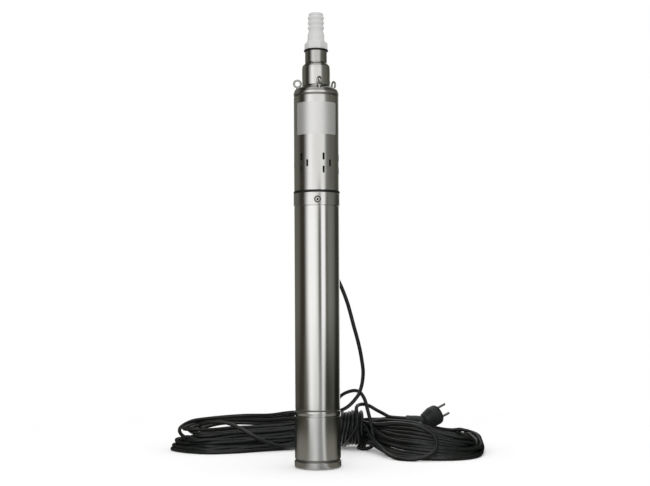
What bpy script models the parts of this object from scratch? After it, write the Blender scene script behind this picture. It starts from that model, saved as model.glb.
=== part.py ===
"""Screw-type borehole submersible pump of the 3 inch size, standing on its foot, with its cable.

Metres, +Z up. The origin is on the pump's axis at the underside of the foot. The front, where the
rating label sits, faces -Y, and the supply cable leaves the motor head at the rear, +Y.
"""

from math import ceil, cos, pi, radians, sin

import bmesh
import bpy
from mathutils import Matrix, Vector

# Clearances
SEAT = 0.0003  # between two pieces that seat on each other
AIR_GAP = 0.0006  # between the rotor core and the stator bore
ROTOR_CLEARANCE = 0.0007  # between the screw rotor and the wall of the rubber stator
GUIDE_CLEARANCE = 0.0004  # between the valve stem and its guide

# Facets round a full turn
SIDES = 24
TOP_SIDES = 20
INNER_SIDES = 16
SMALL_SIDES = 12
HOLE_SIDES = 8
SHARP_ANGLE = radians(32)

# Tubes: every outside radius follows the long tube's
TUBE_R = 0.0389
SHELL_WALL = 0.0015

# Foot cap
FOOT_R = TUBE_R + 0.0016
FOOT_RIM_H = 0.0120
FOOT_ROUND = 0.0035
FOOT_NECK_R = TUBE_R - 0.0005
FOOT_NECK_H = 0.0040
FOOT_SPIGOT_H = 0.0140
FOOT_SPIGOT_WALL = 0.0045
FOOT_FLOOR = 0.0070

# Shells and casing
LOWER_SHELL_R = TUBE_R + 0.0009
LOWER_SHELL_L = 0.0727
MOTOR_SHELL_R = TUBE_R
BEAD_R = TUBE_R + 0.0007
BEAD_H = 0.0060
FLARE_H = 0.0110
CASING_R = TUBE_R
CASING_L = 0.1620

# Intake slots in the casing
SLOT_W = 0.0031
SLOT_L = 0.0117
SLOT_COLUMNS = 6
SLOT_FIRST_AZIMUTH = radians(18)
SLOT_SINGLE_TURN = radians(18)  # from a pair to the single slot beside it
SLOT_MIDDLE_Z = 0.0456  # above the casing's lower edge
SLOT_PAIR_PITCH = 0.0222

# Motor head
COLLAR_R = TUBE_R + 0.0010
COLLAR_H = 0.0220
COLLAR_EDGE = 0.0006
HEAD_SPIGOT_DOWN = 0.0220
HEAD_SPIGOT_UP = 0.0115
HEAD_WEB = 0.0057
HEAD_BORE_R = 0.0095
SEAL_POCKET_R = 0.0125
SEAL_POCKET_H = 0.0057
SEAL_CHAMBER_R = 0.0138
JOINT_RING_R = TUBE_R + 0.0011
JOINT_RING_H = 0.0034
WIRE_WAY_R = 0.0040
WIRE_WAY_DEPTH = 0.0108  # from the gland's face in to the wire way's middle

# Side screws of the motor head
SIDE_SCREW_AZIMUTHS = {"front": radians(2), "right": radians(122), "left": radians(-118)}
SIDE_SCREW_DROP = 0.0015  # below the middle of the collar
SIDE_SCREW_HEAD_R = 0.0040
SIDE_SCREW_HEAD_H = 0.0040
SIDE_SCREW_SHANK_R = 0.0025
SIDE_SCREW_L = 0.0100
SIDE_SCREW_SUNK = 0.0008
SOCKET_KEY_R = 0.0017
COUNTERBORE_R = 0.0060

# Cable gland
GLAND_ACROSS_FLATS = 0.0140
GLAND_HEX_H = 0.0055
GLAND_SHANK_R = 0.0055
GLAND_SHANK_L = 0.0085
GLAND_FACE_Y = COLLAR_R - 0.0011
SLEEVE_L = 0.0220
SLEEVE_R = 0.0063
SLEEVE_TIP_R = 0.0046

# Sealing rings
O_RING_WIRE_R = 0.0011
O_RING_GROOVE_W = 0.0032

# Ball bearings, light series for a 15 mm journal
BEARING_BORE_R = 0.0075
BEARING_OUTER_R = 0.0175
BEARING_W = 0.0110
BEARING_INNER_RING = 0.0026
BEARING_OUTER_RING = 0.0036
BEARING_SHIELD_SUNK = 0.0010

# Lower bracket
BRACKET_DOWN = 0.0120
BRACKET_UP = 0.0220
BRACKET_RIM = 0.0050
BRACKET_WEB = 0.0050
BEARING_SUNK = 0.0015
SHAFT_WELL_R = 0.0100
SHAFT_WELL_H = 0.0040

# Capacitor
CAPACITOR_R = 0.0190
CAPACITOR_L = 0.0520
CAPACITOR_CUP_WALL = 0.0030
CAPACITOR_CUP_H = 0.0180
TAB_W = 0.0063
TAB_T = 0.0012
TAB_L = 0.0070
TAB_SPACING = 0.0160

# Motor
STACK_L = 0.1700
WIRING_ROOM = 0.0463  # between each end of the winding and the bracket or the motor head
STATOR_BORE_R = 0.0196
STATOR_BACK_IRON = 0.0070
STATOR_SLOTS = 12
STATOR_SLOT_W = 0.0052
STATOR_SLOT_MOUTH = 0.0018
STATOR_TOOTH_TIP = 0.0014
COIL_CLEARANCE = 0.0004
END_WINDING_R = TUBE_R - SHELL_WALL - 0.0029
END_WINDING_H = 0.0270
END_WINDING_ROUND = 0.0035
ROTOR_END_RING_H = 0.0090
ROTOR_END_RING_GAP = 0.0009  # to the shaft
SHAFT_ROTOR_SEAT_R = 0.0090
SHAFT_SEAL_R = 0.0060
SHAFT_BELOW_BEARING = 0.0025
SHAFT_SHOULDER = 0.0040

# Shaft seal and sand slinger
SEAL_SEAT_H = 0.0051
SEAL_HEAD_R = 0.0112
SEAL_HEAD_H = 0.0165
SLINGER_R = 0.0190
SLINGER_H = 0.0035
SLINGER_LIFT = 0.0025

# Coupling and flexible shaft
HUB_R = 0.0098
HUB_L = 0.0190
HUB_LIFT = 0.0015
HUB_SHAFT_DEPTH = 0.0100
HUB_WEB = 0.0012
FLEX_R = 0.0040
FLEX_FREE_L = 0.0280
FLEX_SOCKET_DEPTH = 0.0085
FLEX_POINTS = 9

# Screw rotor and rubber stator
ECCENTRICITY = 0.0025
ROTOR_SECTION_R = 0.0075
ROTOR_PITCH = 0.0360
ROTOR_HEAD_L = 0.0110
ROTOR_POKE = 0.0050
ROTOR_SECTION_POINTS = 10
ROTOR_SECTIONS_PER_TURN = 10
STATOR_L = 0.1000
STATOR_RUBBER_R = 0.0200
STATOR_TUBE_WALL = 0.0020
STATOR_THREAD_L = 0.0193
STATOR_END_GAP = 0.0040
CAVITY_HALF_POINTS = 7
CAVITY_SECTIONS_PER_TURN = 20

# Discharge head, heights above its lower edge
DISCHARGE_COLLAR_R = TUBE_R + 0.0003
DISCHARGE_GROOVE_R = TUBE_R - 0.0012
DISCHARGE_GROOVE_H = 0.0018
DISCHARGE_COLLAR_H = 0.0068
DISCHARGE_SHOULDER_H = 0.0148
DISCHARGE_SHOULDER_R = TUBE_R - 0.0059
NECK_R = 0.02425
NECK_FOOT_H = 0.0200
NECK_STRAIGHT_H = 0.0500
NECK_TOP_H = 0.0592
NECK_TOP_R = 0.0190
DISCHARGE_SPIGOT_L = 0.0160
DISCHARGE_SPIGOT_WALL = 0.0030
DISCHARGE_WEB_H = 0.0012
STATOR_BOSS_WALL = 0.0050
STATOR_BOSS_DROP = 0.0058
NECK_BORE_R = 0.0195
NECK_LIP = 0.0085

# Eye bolts
EYE_CIRCLE_R = TUBE_R - 0.0037
EYE_AZIMUTHS = {"front": radians(9), "right": radians(121), "left": radians(-112)}
EYE_TURNS = {"front": radians(58), "right": radians(-62), "left": radians(6)}
EYE_RING_R = 0.0060
EYE_WIRE_R = 0.0015
# Ring centre above the spot face: the three are screwed in to different depths
EYE_RISES = {"front": 0.0096, "right": 0.0112, "left": 0.0129}
EYE_COLLAR_R = 0.0046
EYE_COLLAR_H = 0.0020
EYE_NECK_R = 0.0026
EYE_SHANK_R = 0.0025
EYE_SHANK_L = 0.0085
EYE_RING_SIDES = 14
EYE_WIRE_SIDES = 6
EYE_SPOT_R = 0.0050
EYE_SPOT_DROP = 0.0010

# Outlet socket and check valve
SOCKET_R = 0.0190
SOCKET_L = 0.0199
SOCKET_SPIGOT_R = 0.0160
SOCKET_SPIGOT_L = 0.0220
SOCKET_BORE_R = 0.0126
SOCKET_THREAD_R = 0.0146
SOCKET_THREAD_L = 0.0130
VALVE_SEAT_R = 0.0090
VALVE_SEAT_H = 0.0055
VALVE_SEAT_CHAMFER = 0.0012
POPPET_R = 0.0110
POPPET_H = 0.0036
POPPET_STEM_R = 0.0024
POPPET_LIFT = 0.0050
POPPET_STOP_R = 0.0038
POPPET_STEM_POKE = 0.0020
GUIDE_HUB_R = 0.0048
GUIDE_RING_WALL = 0.0016
GUIDE_H = 0.0034
GUIDE_ARM_W = 0.0024
GUIDE_ARMS = 3
VALVE_SPRING_R = 0.0060
VALVE_SPRING_WIRE_R = 0.0005
VALVE_SPRING_TURNS = 4.5
VALVE_SPRING_POINTS = 8  # a turn

# Black washer and hose tail
WASHER_R = 0.0210
WASHER_H = 0.0037
TAIL_ACROSS_FLATS = 0.0350
TAIL_HEX_H = 0.0105
TAIL_CONE_H = 0.0052
TAIL_CUFF_R = 0.0143
TAIL_CUFF_H = 0.0092
TAIL_NECK_H = 0.0055
TAIL_BARB_R = 0.0138
TAIL_VALLEY_R = 0.0129
TAIL_BARBS = 3
TAIL_BARB_PITCH = 0.0085
TAIL_NOSE_R = 0.0118
TAIL_NOSE_H = 0.0059
TAIL_BORE_R = 0.00975
TAIL_SPIGOT_R = 0.0143
TAIL_SPIGOT_L = 0.0110

# Supply cable and plug
CABLE_R = 0.0035
CABLE_START_Y = 0.0312
HANK_H = 0.0450
PLUG_R = 0.0190
PLUG_NECK_R = 0.0088
PLUG_L = 0.0360
PLUG_RIM_H = 0.0100
PLUG_EDGE = 0.0012
PLUG_FACE = Vector((0.2353, 0.2260, 0.0692))
PLUG_DIRECTION = Vector((0.860, 0.310, 0.405)).normalized()
PIN_R = 0.0024
PIN_L = 0.0190
PIN_SPACING = 0.0190
RELIEF_R = 0.0062
RELIEF_TIP_R = 0.0044

LEAD_ROUTE = [
    (0.0000, CABLE_START_Y, 0.4615), (0.0000, 0.0500, 0.4615), (0.0000, 0.0690, 0.4612),
    (0.0002, 0.0830, 0.4575), (0.0008, 0.0950, 0.4480), (0.0020, 0.1015, 0.4345),
    (0.0045, 0.1035, 0.4190), (0.0090, 0.1030, 0.4000), (0.0170, 0.1012, 0.3750),
    (0.0290, 0.0992, 0.3440), (0.0432, 0.0980, 0.3145), (0.0538, 0.0990, 0.2872),
    (0.0602, 0.1000, 0.2653), (0.0664, 0.1020, 0.2415), (0.0735, 0.1060, 0.2158),
    (0.0790, 0.1110, 0.1918), (0.0829, 0.1190, 0.1684), (0.0842, 0.1250, 0.1560),
    (0.0835, 0.1350, 0.1414), (0.0805, 0.1480, 0.1264), (0.0740, 0.1680, 0.1078),
    (0.0628, 0.1900, 0.0906), (0.0460, 0.2120, 0.0730), (0.0330, 0.2230, 0.0610),
    (0.0200, 0.2315, 0.0480),
]
TAIL_ROUTE = [
    (0.0762, 0.1935, 0.0456), (0.0756, 0.1945, 0.0600), (0.0748, 0.1985, 0.0720),
    (0.0745, 0.2080, 0.0812), (0.0789, 0.2220, 0.0850), (0.0888, 0.2340, 0.0855),
    (0.1005, 0.2400, 0.0818), (0.1138, 0.2380, 0.0742), (0.1278, 0.2300, 0.0673),
    (0.1385, 0.2205, 0.0623), (0.1538, 0.2132, 0.0612), (0.1690, 0.2090, 0.0606),
]
RELIEF_ROUTE = [
    (0.1699, 0.20875, 0.0606), (0.1768, 0.2074, 0.0599), (0.1845, 0.2080, 0.0574),
    (0.1920, 0.2101, 0.0540),
]
RELIEF_STRAIGHT = 0.0062
HANK_OUTLINE = [
    (0.072, 0.198), (0.112, 0.148), (0.156, 0.092), (0.214, 0.073), (0.272, 0.088),
    (0.312, 0.140), (0.322, 0.205), (0.298, 0.272), (0.232, 0.312), (0.152, 0.300),
    (0.072, 0.270), (-0.020, 0.298), (-0.130, 0.318), (-0.222, 0.304), (-0.276, 0.266),
    (-0.287, 0.224), (-0.262, 0.170), (-0.204, 0.146), (-0.120, 0.160), (-0.010, 0.194),
]

# Levels along the axis, from the foot up
FOOT_TOP = FOOT_RIM_H + FOOT_NECK_H
LOWER_SHELL_Z = FOOT_TOP + SEAT
LOWER_SHELL_TOP = LOWER_SHELL_Z + LOWER_SHELL_L
MOTOR_SHELL_Z = LOWER_SHELL_TOP + SEAT
BRACKET_TOP = MOTOR_SHELL_Z + BRACKET_UP
STACK_Z = BRACKET_TOP + WIRING_ROOM + END_WINDING_H + SEAT
STACK_TOP = STACK_Z + STACK_L
HEAD_Z = STACK_TOP + SEAT + END_WINDING_H + WIRING_ROOM
MOTOR_SHELL_TOP = HEAD_Z + HEAD_SPIGOT_DOWN - SEAT
COLLAR_Z = MOTOR_SHELL_TOP + SEAT
COLLAR_TOP = COLLAR_Z + COLLAR_H
JOINT_RING_Z = COLLAR_TOP + SEAT
CASING_Z = JOINT_RING_Z + JOINT_RING_H + SEAT
CASING_TOP = CASING_Z + CASING_L
DISCHARGE_Z = CASING_TOP + SEAT
SOCKET_Z = DISCHARGE_Z + NECK_TOP_H + SEAT
WASHER_Z = SOCKET_Z + SOCKET_L + SEAT
TAIL_Z = WASHER_Z + WASHER_H + SEAT

# Pieces inside, placed from what carries them
BRACKET_Z = LOWER_SHELL_TOP - BRACKET_DOWN
LOWER_BEARING_Z = BRACKET_TOP - BEARING_SUNK - BEARING_W
HEAD_TOP = COLLAR_TOP + HEAD_SPIGOT_UP
UPPER_BEARING_Z = HEAD_Z + BEARING_SUNK
SEAL_POCKET_Z = UPPER_BEARING_Z + BEARING_W + SEAT + HEAD_WEB
SEAL_CHAMBER_Z = SEAL_POCKET_Z + SEAL_POCKET_H
SLINGER_Z = HEAD_TOP + SLINGER_LIFT
HUB_Z = SLINGER_Z + SLINGER_H + HUB_LIFT
SHAFT_TOP = HUB_Z + HUB_SHAFT_DEPTH
FLEX_Z = SHAFT_TOP + SEAT + HUB_WEB + SEAT
ROTOR_Z = HUB_Z + HUB_L + FLEX_FREE_L
FLEX_TOP = ROTOR_Z + FLEX_SOCKET_DEPTH - SEAT
STATOR_SOCKET_TOP = DISCHARGE_Z - STATOR_BOSS_DROP + STATOR_THREAD_L
STATOR_TUBE_TOP = STATOR_SOCKET_TOP - SEAT
STATOR_RUBBER_Z = STATOR_TUBE_TOP - STATOR_END_GAP - STATOR_L
SHELL_BORE_R = MOTOR_SHELL_R - SHELL_WALL
SPIGOT_R = SHELL_BORE_R - SEAT
SIDE_SCREW_Z = COLLAR_Z + COLLAR_H / 2 - SIDE_SCREW_DROP
GLAND_Z = COLLAR_Z + COLLAR_H / 2
STATOR_TUBE_BORE_R = STATOR_RUBBER_R + SEAT
STATOR_TUBE_R = STATOR_TUBE_BORE_R + STATOR_TUBE_WALL
EYE_SPOT_Z = DISCHARGE_Z + DISCHARGE_SHOULDER_H - EYE_SPOT_DROP
VALVE_SEAT_TOP = SOCKET_Z - SOCKET_SPIGOT_L + VALVE_SEAT_H
GUIDE_Z = SOCKET_Z + SOCKET_L - SOCKET_THREAD_L + SEAT


def empty_scene():
    """Removes what the file starts with and returns the parts' and the cutters' collections."""
    for obj in list(bpy.data.objects):
        bpy.data.objects.remove(obj, do_unlink=True)
    parts = bpy.data.collections.new("borehole_pump")
    tools = bpy.data.collections.new("cutters")
    bpy.context.scene.collection.children.link(parts)
    bpy.context.scene.collection.children.link(tools)
    return parts, tools


PARTS, CUTTERS = empty_scene()


def finish(name, colour, roughness, metallic):
    """A Principled material."""
    material = bpy.data.materials.new(name)
    material.use_nodes = True
    shader = material.node_tree.nodes["Principled BSDF"]
    shader.inputs["Base Color"].default_value = (*colour, 1.0)
    shader.inputs["Roughness"].default_value = roughness
    shader.inputs["Metallic"].default_value = metallic
    material.diffuse_color = (*colour, 1.0)
    return material


POLISHED = finish("polished_stainless", (0.62, 0.61, 0.58), 0.16, 1.0)
SATIN = finish("satin_stainless", (0.55, 0.53, 0.49), 0.34, 1.0)
CAST = finish("cast_stainless", (0.48, 0.47, 0.44), 0.42, 1.0)
HARD_STEEL = finish("ground_steel", (0.66, 0.66, 0.66), 0.22, 1.0)
CHROMED = finish("chromed_rotor", (0.75, 0.75, 0.76), 0.10, 1.0)
LAMINATED = finish("laminated_steel", (0.30, 0.30, 0.31), 0.50, 1.0)
ALUMINIUM = finish("cast_aluminium", (0.66, 0.67, 0.68), 0.40, 1.0)
COPPER = finish("enamelled_copper", (0.52, 0.22, 0.09), 0.35, 0.9)
CARBON = finish("carbon_seal", (0.05, 0.05, 0.05), 0.40, 0.0)
BLACK_RUBBER = finish("black_rubber", (0.015, 0.016, 0.016), 0.60, 0.0)
GREY_RUBBER = finish("stator_rubber", (0.05, 0.05, 0.05), 0.55, 0.0)
WHITE_PLASTIC = finish("white_plastic", (0.76, 0.76, 0.76), 0.38, 0.0)
CABLE_SHEATH = finish("cable_sheath", (0.022, 0.024, 0.024), 0.55, 0.0)
PLUG_PLASTIC = finish("plug_plastic", (0.020, 0.021, 0.022), 0.45, 0.0)


def add_object(name, mesh, look, collection=PARTS):
    """A mesh object with one finish, shaded smooth with its hard edges kept."""
    obj = bpy.data.objects.new(name, mesh)
    collection.objects.link(obj)
    if look:
        mesh.materials.append(look)
    mesh.shade_smooth()
    mesh.set_sharp_from_angle(angle=SHARP_ANGLE)
    return obj


def evaluated_mesh(obj, name):
    """The object's shape after its modifiers, as a mesh of its own."""
    bpy.context.view_layer.update()
    graph = bpy.context.evaluated_depsgraph_get()
    mesh = bpy.data.meshes.new_from_object(obj.evaluated_get(graph))
    mesh.name = name
    mesh.materials.clear()
    return mesh


def clockwise(profile):
    """The (radius, height) profile in the order that runs down its outer side."""
    area = sum(a[0] * b[1] - b[0] * a[1] for a, b in zip(profile, profile[1:] + profile[:1]))
    return profile if area < 0 else profile[::-1]


def turned_mesh(name, profile, sides=SIDES):
    """A profile of (radius, height) points revolved about Z; it may end on the axis."""
    points = clockwise(profile)
    on_axis = any(radius == 0 for radius, _ in points)
    if on_axis:
        while not (points[0][0] == 0 and points[-1][0] == 0):
            points = points[1:] + points[:1]
    edges = [(i, i + 1) for i in range(len(points) - 1)]
    if not on_axis:
        edges.append((len(points) - 1, 0))
    outline = bpy.data.meshes.new(name + "_profile")
    outline.from_pydata([(radius, 0, height) for radius, height in points], edges, [])
    guide = bpy.data.objects.new(name + "_profile", outline)
    CUTTERS.objects.link(guide)
    screw = guide.modifiers.new("revolve", "SCREW")
    screw.steps = screw.render_steps = sides
    screw.use_merge_vertices = True
    screw.merge_threshold = 0.00001
    mesh = evaluated_mesh(guide, name)
    bpy.data.objects.remove(guide)
    bpy.data.meshes.remove(outline)
    return mesh


def turned(name, profile, look, sides=SIDES, axis=(0, 0, 1), at=(0, 0, 0), collection=PARTS):
    """A turned piece whose own Z axis lies along axis, with its zero height at a point."""
    obj = add_object(name, turned_mesh(name, profile, sides), look, collection)
    obj.rotation_mode = "QUATERNION"
    obj.rotation_quaternion = Vector(axis).to_track_quat("Z", "Y")
    obj.location = at
    return obj


def cylinder_cutter(name, radius, low, high, axis=(0, 0, 1), at=(0, 0, 0), sides=SMALL_SIDES):
    """A plain round cutter from low to high along its axis."""
    profile = [(0, high), (radius, high), (radius, low), (0, low)]
    return as_cutter(turned(name, profile, None, sides, axis, at, CUTTERS))


def as_cutter(obj):
    """Marks an object as a tool that isn't a piece of the pump."""
    obj.hide_render = True
    obj.display_type = "WIRE"
    return obj


def combine(obj, tool, operation):
    """Adds one Boolean, worked out exactly."""
    boolean = obj.modifiers.new(operation.lower() + "_" + tool.name, "BOOLEAN")
    boolean.operation = operation
    boolean.object = tool
    return obj


def prism(bm, outline, place):
    """Adds a prism to bm: a flat outline of (x, y, low z, high z) corners put through a matrix."""
    low = [bm.verts.new(place @ Vector((x, y, z))) for x, y, z, _ in outline]
    high = [bm.verts.new(place @ Vector((x, y, z))) for x, y, _, z in outline]
    bm.faces.new(low[::-1])
    bm.faces.new(high)
    count = len(outline)
    for i in range(count):
        j = (i + 1) % count
        bm.faces.new((low[i], low[j], high[j], high[i]))


def mesh_from(bm, name):
    """The finished mesh of a bmesh, with its faces turned outwards."""
    bmesh.ops.recalc_face_normals(bm, faces=bm.faces)
    mesh = bpy.data.meshes.new(name)
    bm.to_mesh(mesh)
    bm.free()
    return mesh


def lofted_mesh(name, rings):
    """A closed skin over rings that all have the same number of points.

    Each strip is split along the diagonal that bulges outwards where the rings twist to the left,
    so a twisted hollow is never tighter than its sections.
    """
    bm = bmesh.new()
    rows = [[bm.verts.new(point) for point in ring] for ring in rings]
    count = len(rows[0])
    for below, above in zip(rows, rows[1:]):
        for i in range(count):
            j = (i + 1) % count
            bm.faces.new((below[i], below[j], above[i]))
            bm.faces.new((below[j], above[j], above[i]))
    bm.faces.new(rows[0][::-1])
    bm.faces.new(rows[-1])
    return mesh_from(bm, name)


def arc(centre, radius, start, end, steps):
    """Points on an arc of the (radius, height) plane, angles from the outward direction."""
    angles = [start + (end - start) * i / steps for i in range(steps + 1)]
    return [(centre[0] + radius * cos(a), centre[1] + radius * sin(a)) for a in angles]


def around(azimuth, radius, height):
    """A point at an azimuth counted from the front towards the right hand side."""
    return Vector((radius * sin(azimuth), -radius * cos(azimuth), height))


def smooth_route(points, spacing):
    """Evenly spaced points on a smooth curve through the route's own points."""
    knots = [Vector(p) for p in points]
    padded = [2 * knots[0] - knots[1]] + knots + [2 * knots[-1] - knots[-2]]
    fine = []
    steps = 12
    for a, b, c, d in zip(padded, padded[1:], padded[2:], padded[3:]):
        for i in range(steps):
            t = i / steps
            fine.append(0.5 * (2 * b + (c - a) * t + (2 * a - 5 * b + 4 * c - d) * t**2
                               + (3 * b - a - 3 * c + d) * t**3))
    fine.append(knots[-1])
    lengths = [0.0]
    for a, b in zip(fine, fine[1:]):
        lengths.append(lengths[-1] + (b - a).length)
    count = max(2, ceil(lengths[-1] / spacing))
    route = []
    index = 0
    for i in range(count + 1):
        target = lengths[-1] * i / count
        while index < len(fine) - 2 and lengths[index + 1] < target:
            index += 1
        share = (target - lengths[index]) / (lengths[index + 1] - lengths[index])
        route.append(fine[index].lerp(fine[index + 1], share))
    return route


def rod(name, points, radius, look, bevel_resolution=2, radii=None):
    """A round rod, wire or cable along a line of points, with closed ends."""
    curve = bpy.data.curves.new(name, "CURVE")
    curve.dimensions = "3D"
    curve.bevel_depth = radius
    curve.bevel_resolution = bevel_resolution
    curve.use_fill_caps = True
    line = curve.splines.new("POLY")
    line.points.add(len(points) - 1)
    for i, point in enumerate(points):
        line.points[i].co = (*point, 1)
        line.points[i].radius = radii[i] / radius if radii else 1.0
    curve.materials.append(look)
    obj = bpy.data.objects.new(name, curve)
    PARTS.objects.link(obj)
    return obj


def axis_empty(name, x=0.0, z=0.0):
    """An empty on a joint's axis, which carries the pieces that move there."""
    obj = bpy.data.objects.new(name, None)
    obj.location = (x, 0, z)
    obj.empty_display_size = 0.02
    PARTS.objects.link(obj)
    return obj


def carry(empty, *pieces):
    """Parents pieces to an empty and leaves them where they are."""
    bpy.context.view_layer.update()
    for piece in pieces:
        piece.parent = empty
        piece.matrix_parent_inverse = empty.matrix_world.inverted()


def tube_profile(outer, wall, low, high):
    """A plain tube's profile."""
    return [(outer - wall, high), (outer, high), (outer, low), (outer - wall, low)]


def groove(radius, middle):
    """The four points of an O-ring groove, from its upper edge down."""
    top = middle + O_RING_GROOVE_W / 2
    low = middle - O_RING_GROOVE_W / 2
    floor = radius - 2 * O_RING_WIRE_R - SEAT
    return [(radius, top), (floor, top), (floor, low), (radius, low)]


def o_ring(name, radius, middle):
    """A rubber ring lying in its groove, flush with the spigot."""
    turned(name, arc((radius - O_RING_WIRE_R, middle), O_RING_WIRE_R, 0, pi * 8 / 5, 4),
           BLACK_RUBBER)


def build_foot():
    """Foot cap with its spigot and sealing ring, the lower shell and the run capacitor inside."""
    spigot = LOWER_SHELL_R - SHELL_WALL - SEAT
    top = FOOT_TOP + FOOT_SPIGOT_H
    ring_z = FOOT_TOP + FOOT_SPIGOT_H / 2
    profile = [(0, 0)]
    profile += arc((FOOT_R - FOOT_ROUND, FOOT_ROUND), FOOT_ROUND, -pi / 2, 0, 2)
    profile += [(FOOT_R, FOOT_RIM_H), (FOOT_NECK_R, FOOT_RIM_H), (FOOT_NECK_R, FOOT_TOP)]
    profile += [(spigot, FOOT_TOP)] + groove(spigot, ring_z)[::-1]
    profile += [(spigot, top), (spigot - FOOT_SPIGOT_WALL, top)]
    profile += [(spigot - FOOT_SPIGOT_WALL, FOOT_FLOOR), (0, FOOT_FLOOR)]
    turned("foot_cap", profile, SATIN)
    o_ring("foot_o_ring", spigot, ring_z)
    turned("lower_shell",
           tube_profile(LOWER_SHELL_R, SHELL_WALL, LOWER_SHELL_Z, LOWER_SHELL_TOP), SATIN)

    cup_z = FOOT_FLOOR + SEAT
    cup_r = CAPACITOR_R + SEAT + CAPACITOR_CUP_WALL
    can_z = cup_z + CAPACITOR_CUP_WALL + SEAT
    turned("capacitor_cup", [
        (0, cup_z), (cup_r, cup_z), (cup_r, cup_z + CAPACITOR_CUP_H),
        (CAPACITOR_R + SEAT, cup_z + CAPACITOR_CUP_H), (CAPACITOR_R + SEAT, can_z - SEAT),
        (0, can_z - SEAT),
    ], BLACK_RUBBER, INNER_SIDES)
    can_top = can_z + CAPACITOR_L
    lid_r = CAPACITOR_R - 2 * TAB_T
    capacitor = turned("capacitor", [
        (0, can_z), (CAPACITOR_R, can_z), (CAPACITOR_R, can_top), (lid_r, can_top),
        (lid_r, can_top - TAB_T), (0, can_top - TAB_T),
    ], ALUMINIUM, INNER_SIDES)
    bm = bmesh.new()
    corners = [(-TAB_W / 2, -TAB_T / 2), (TAB_W / 2, -TAB_T / 2), (TAB_W / 2, TAB_T / 2),
               (-TAB_W / 2, TAB_T / 2)]
    for side in (-1, 1):
        place = Matrix.Translation((0, side * TAB_SPACING / 2, can_top - 2 * TAB_T))
        prism(bm, [(x, y, 0, TAB_L) for x, y in corners], place)
    tabs = bpy.data.objects.new("capacitor_tabs", mesh_from(bm, "capacitor_tabs"))
    CUTTERS.objects.link(tabs)
    combine(capacitor, as_cutter(tabs), "UNION")


def bearing(place, low):
    """One shielded ball bearing: its outer ring with the shields, and its inner ring."""
    high = low + BEARING_W
    inner_top = BEARING_BORE_R + SEAT + BEARING_INNER_RING
    outer_r = BEARING_OUTER_R
    shield = inner_top + 2 * SEAT
    land = outer_r - BEARING_OUTER_RING
    outer = turned(place + "_bearing_outer", [
        (land, high), (outer_r, high), (outer_r, low), (land, low),
        (land, low + BEARING_SHIELD_SUNK), (shield, low + BEARING_SHIELD_SUNK),
        (shield, high - BEARING_SHIELD_SUNK), (land, high - BEARING_SHIELD_SUNK),
    ], HARD_STEEL, INNER_SIDES)
    inner = turned(place + "_bearing_inner",
                   tube_profile(inner_top, BEARING_INNER_RING, low, high), HARD_STEEL, INNER_SIDES)
    return outer, inner


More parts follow.
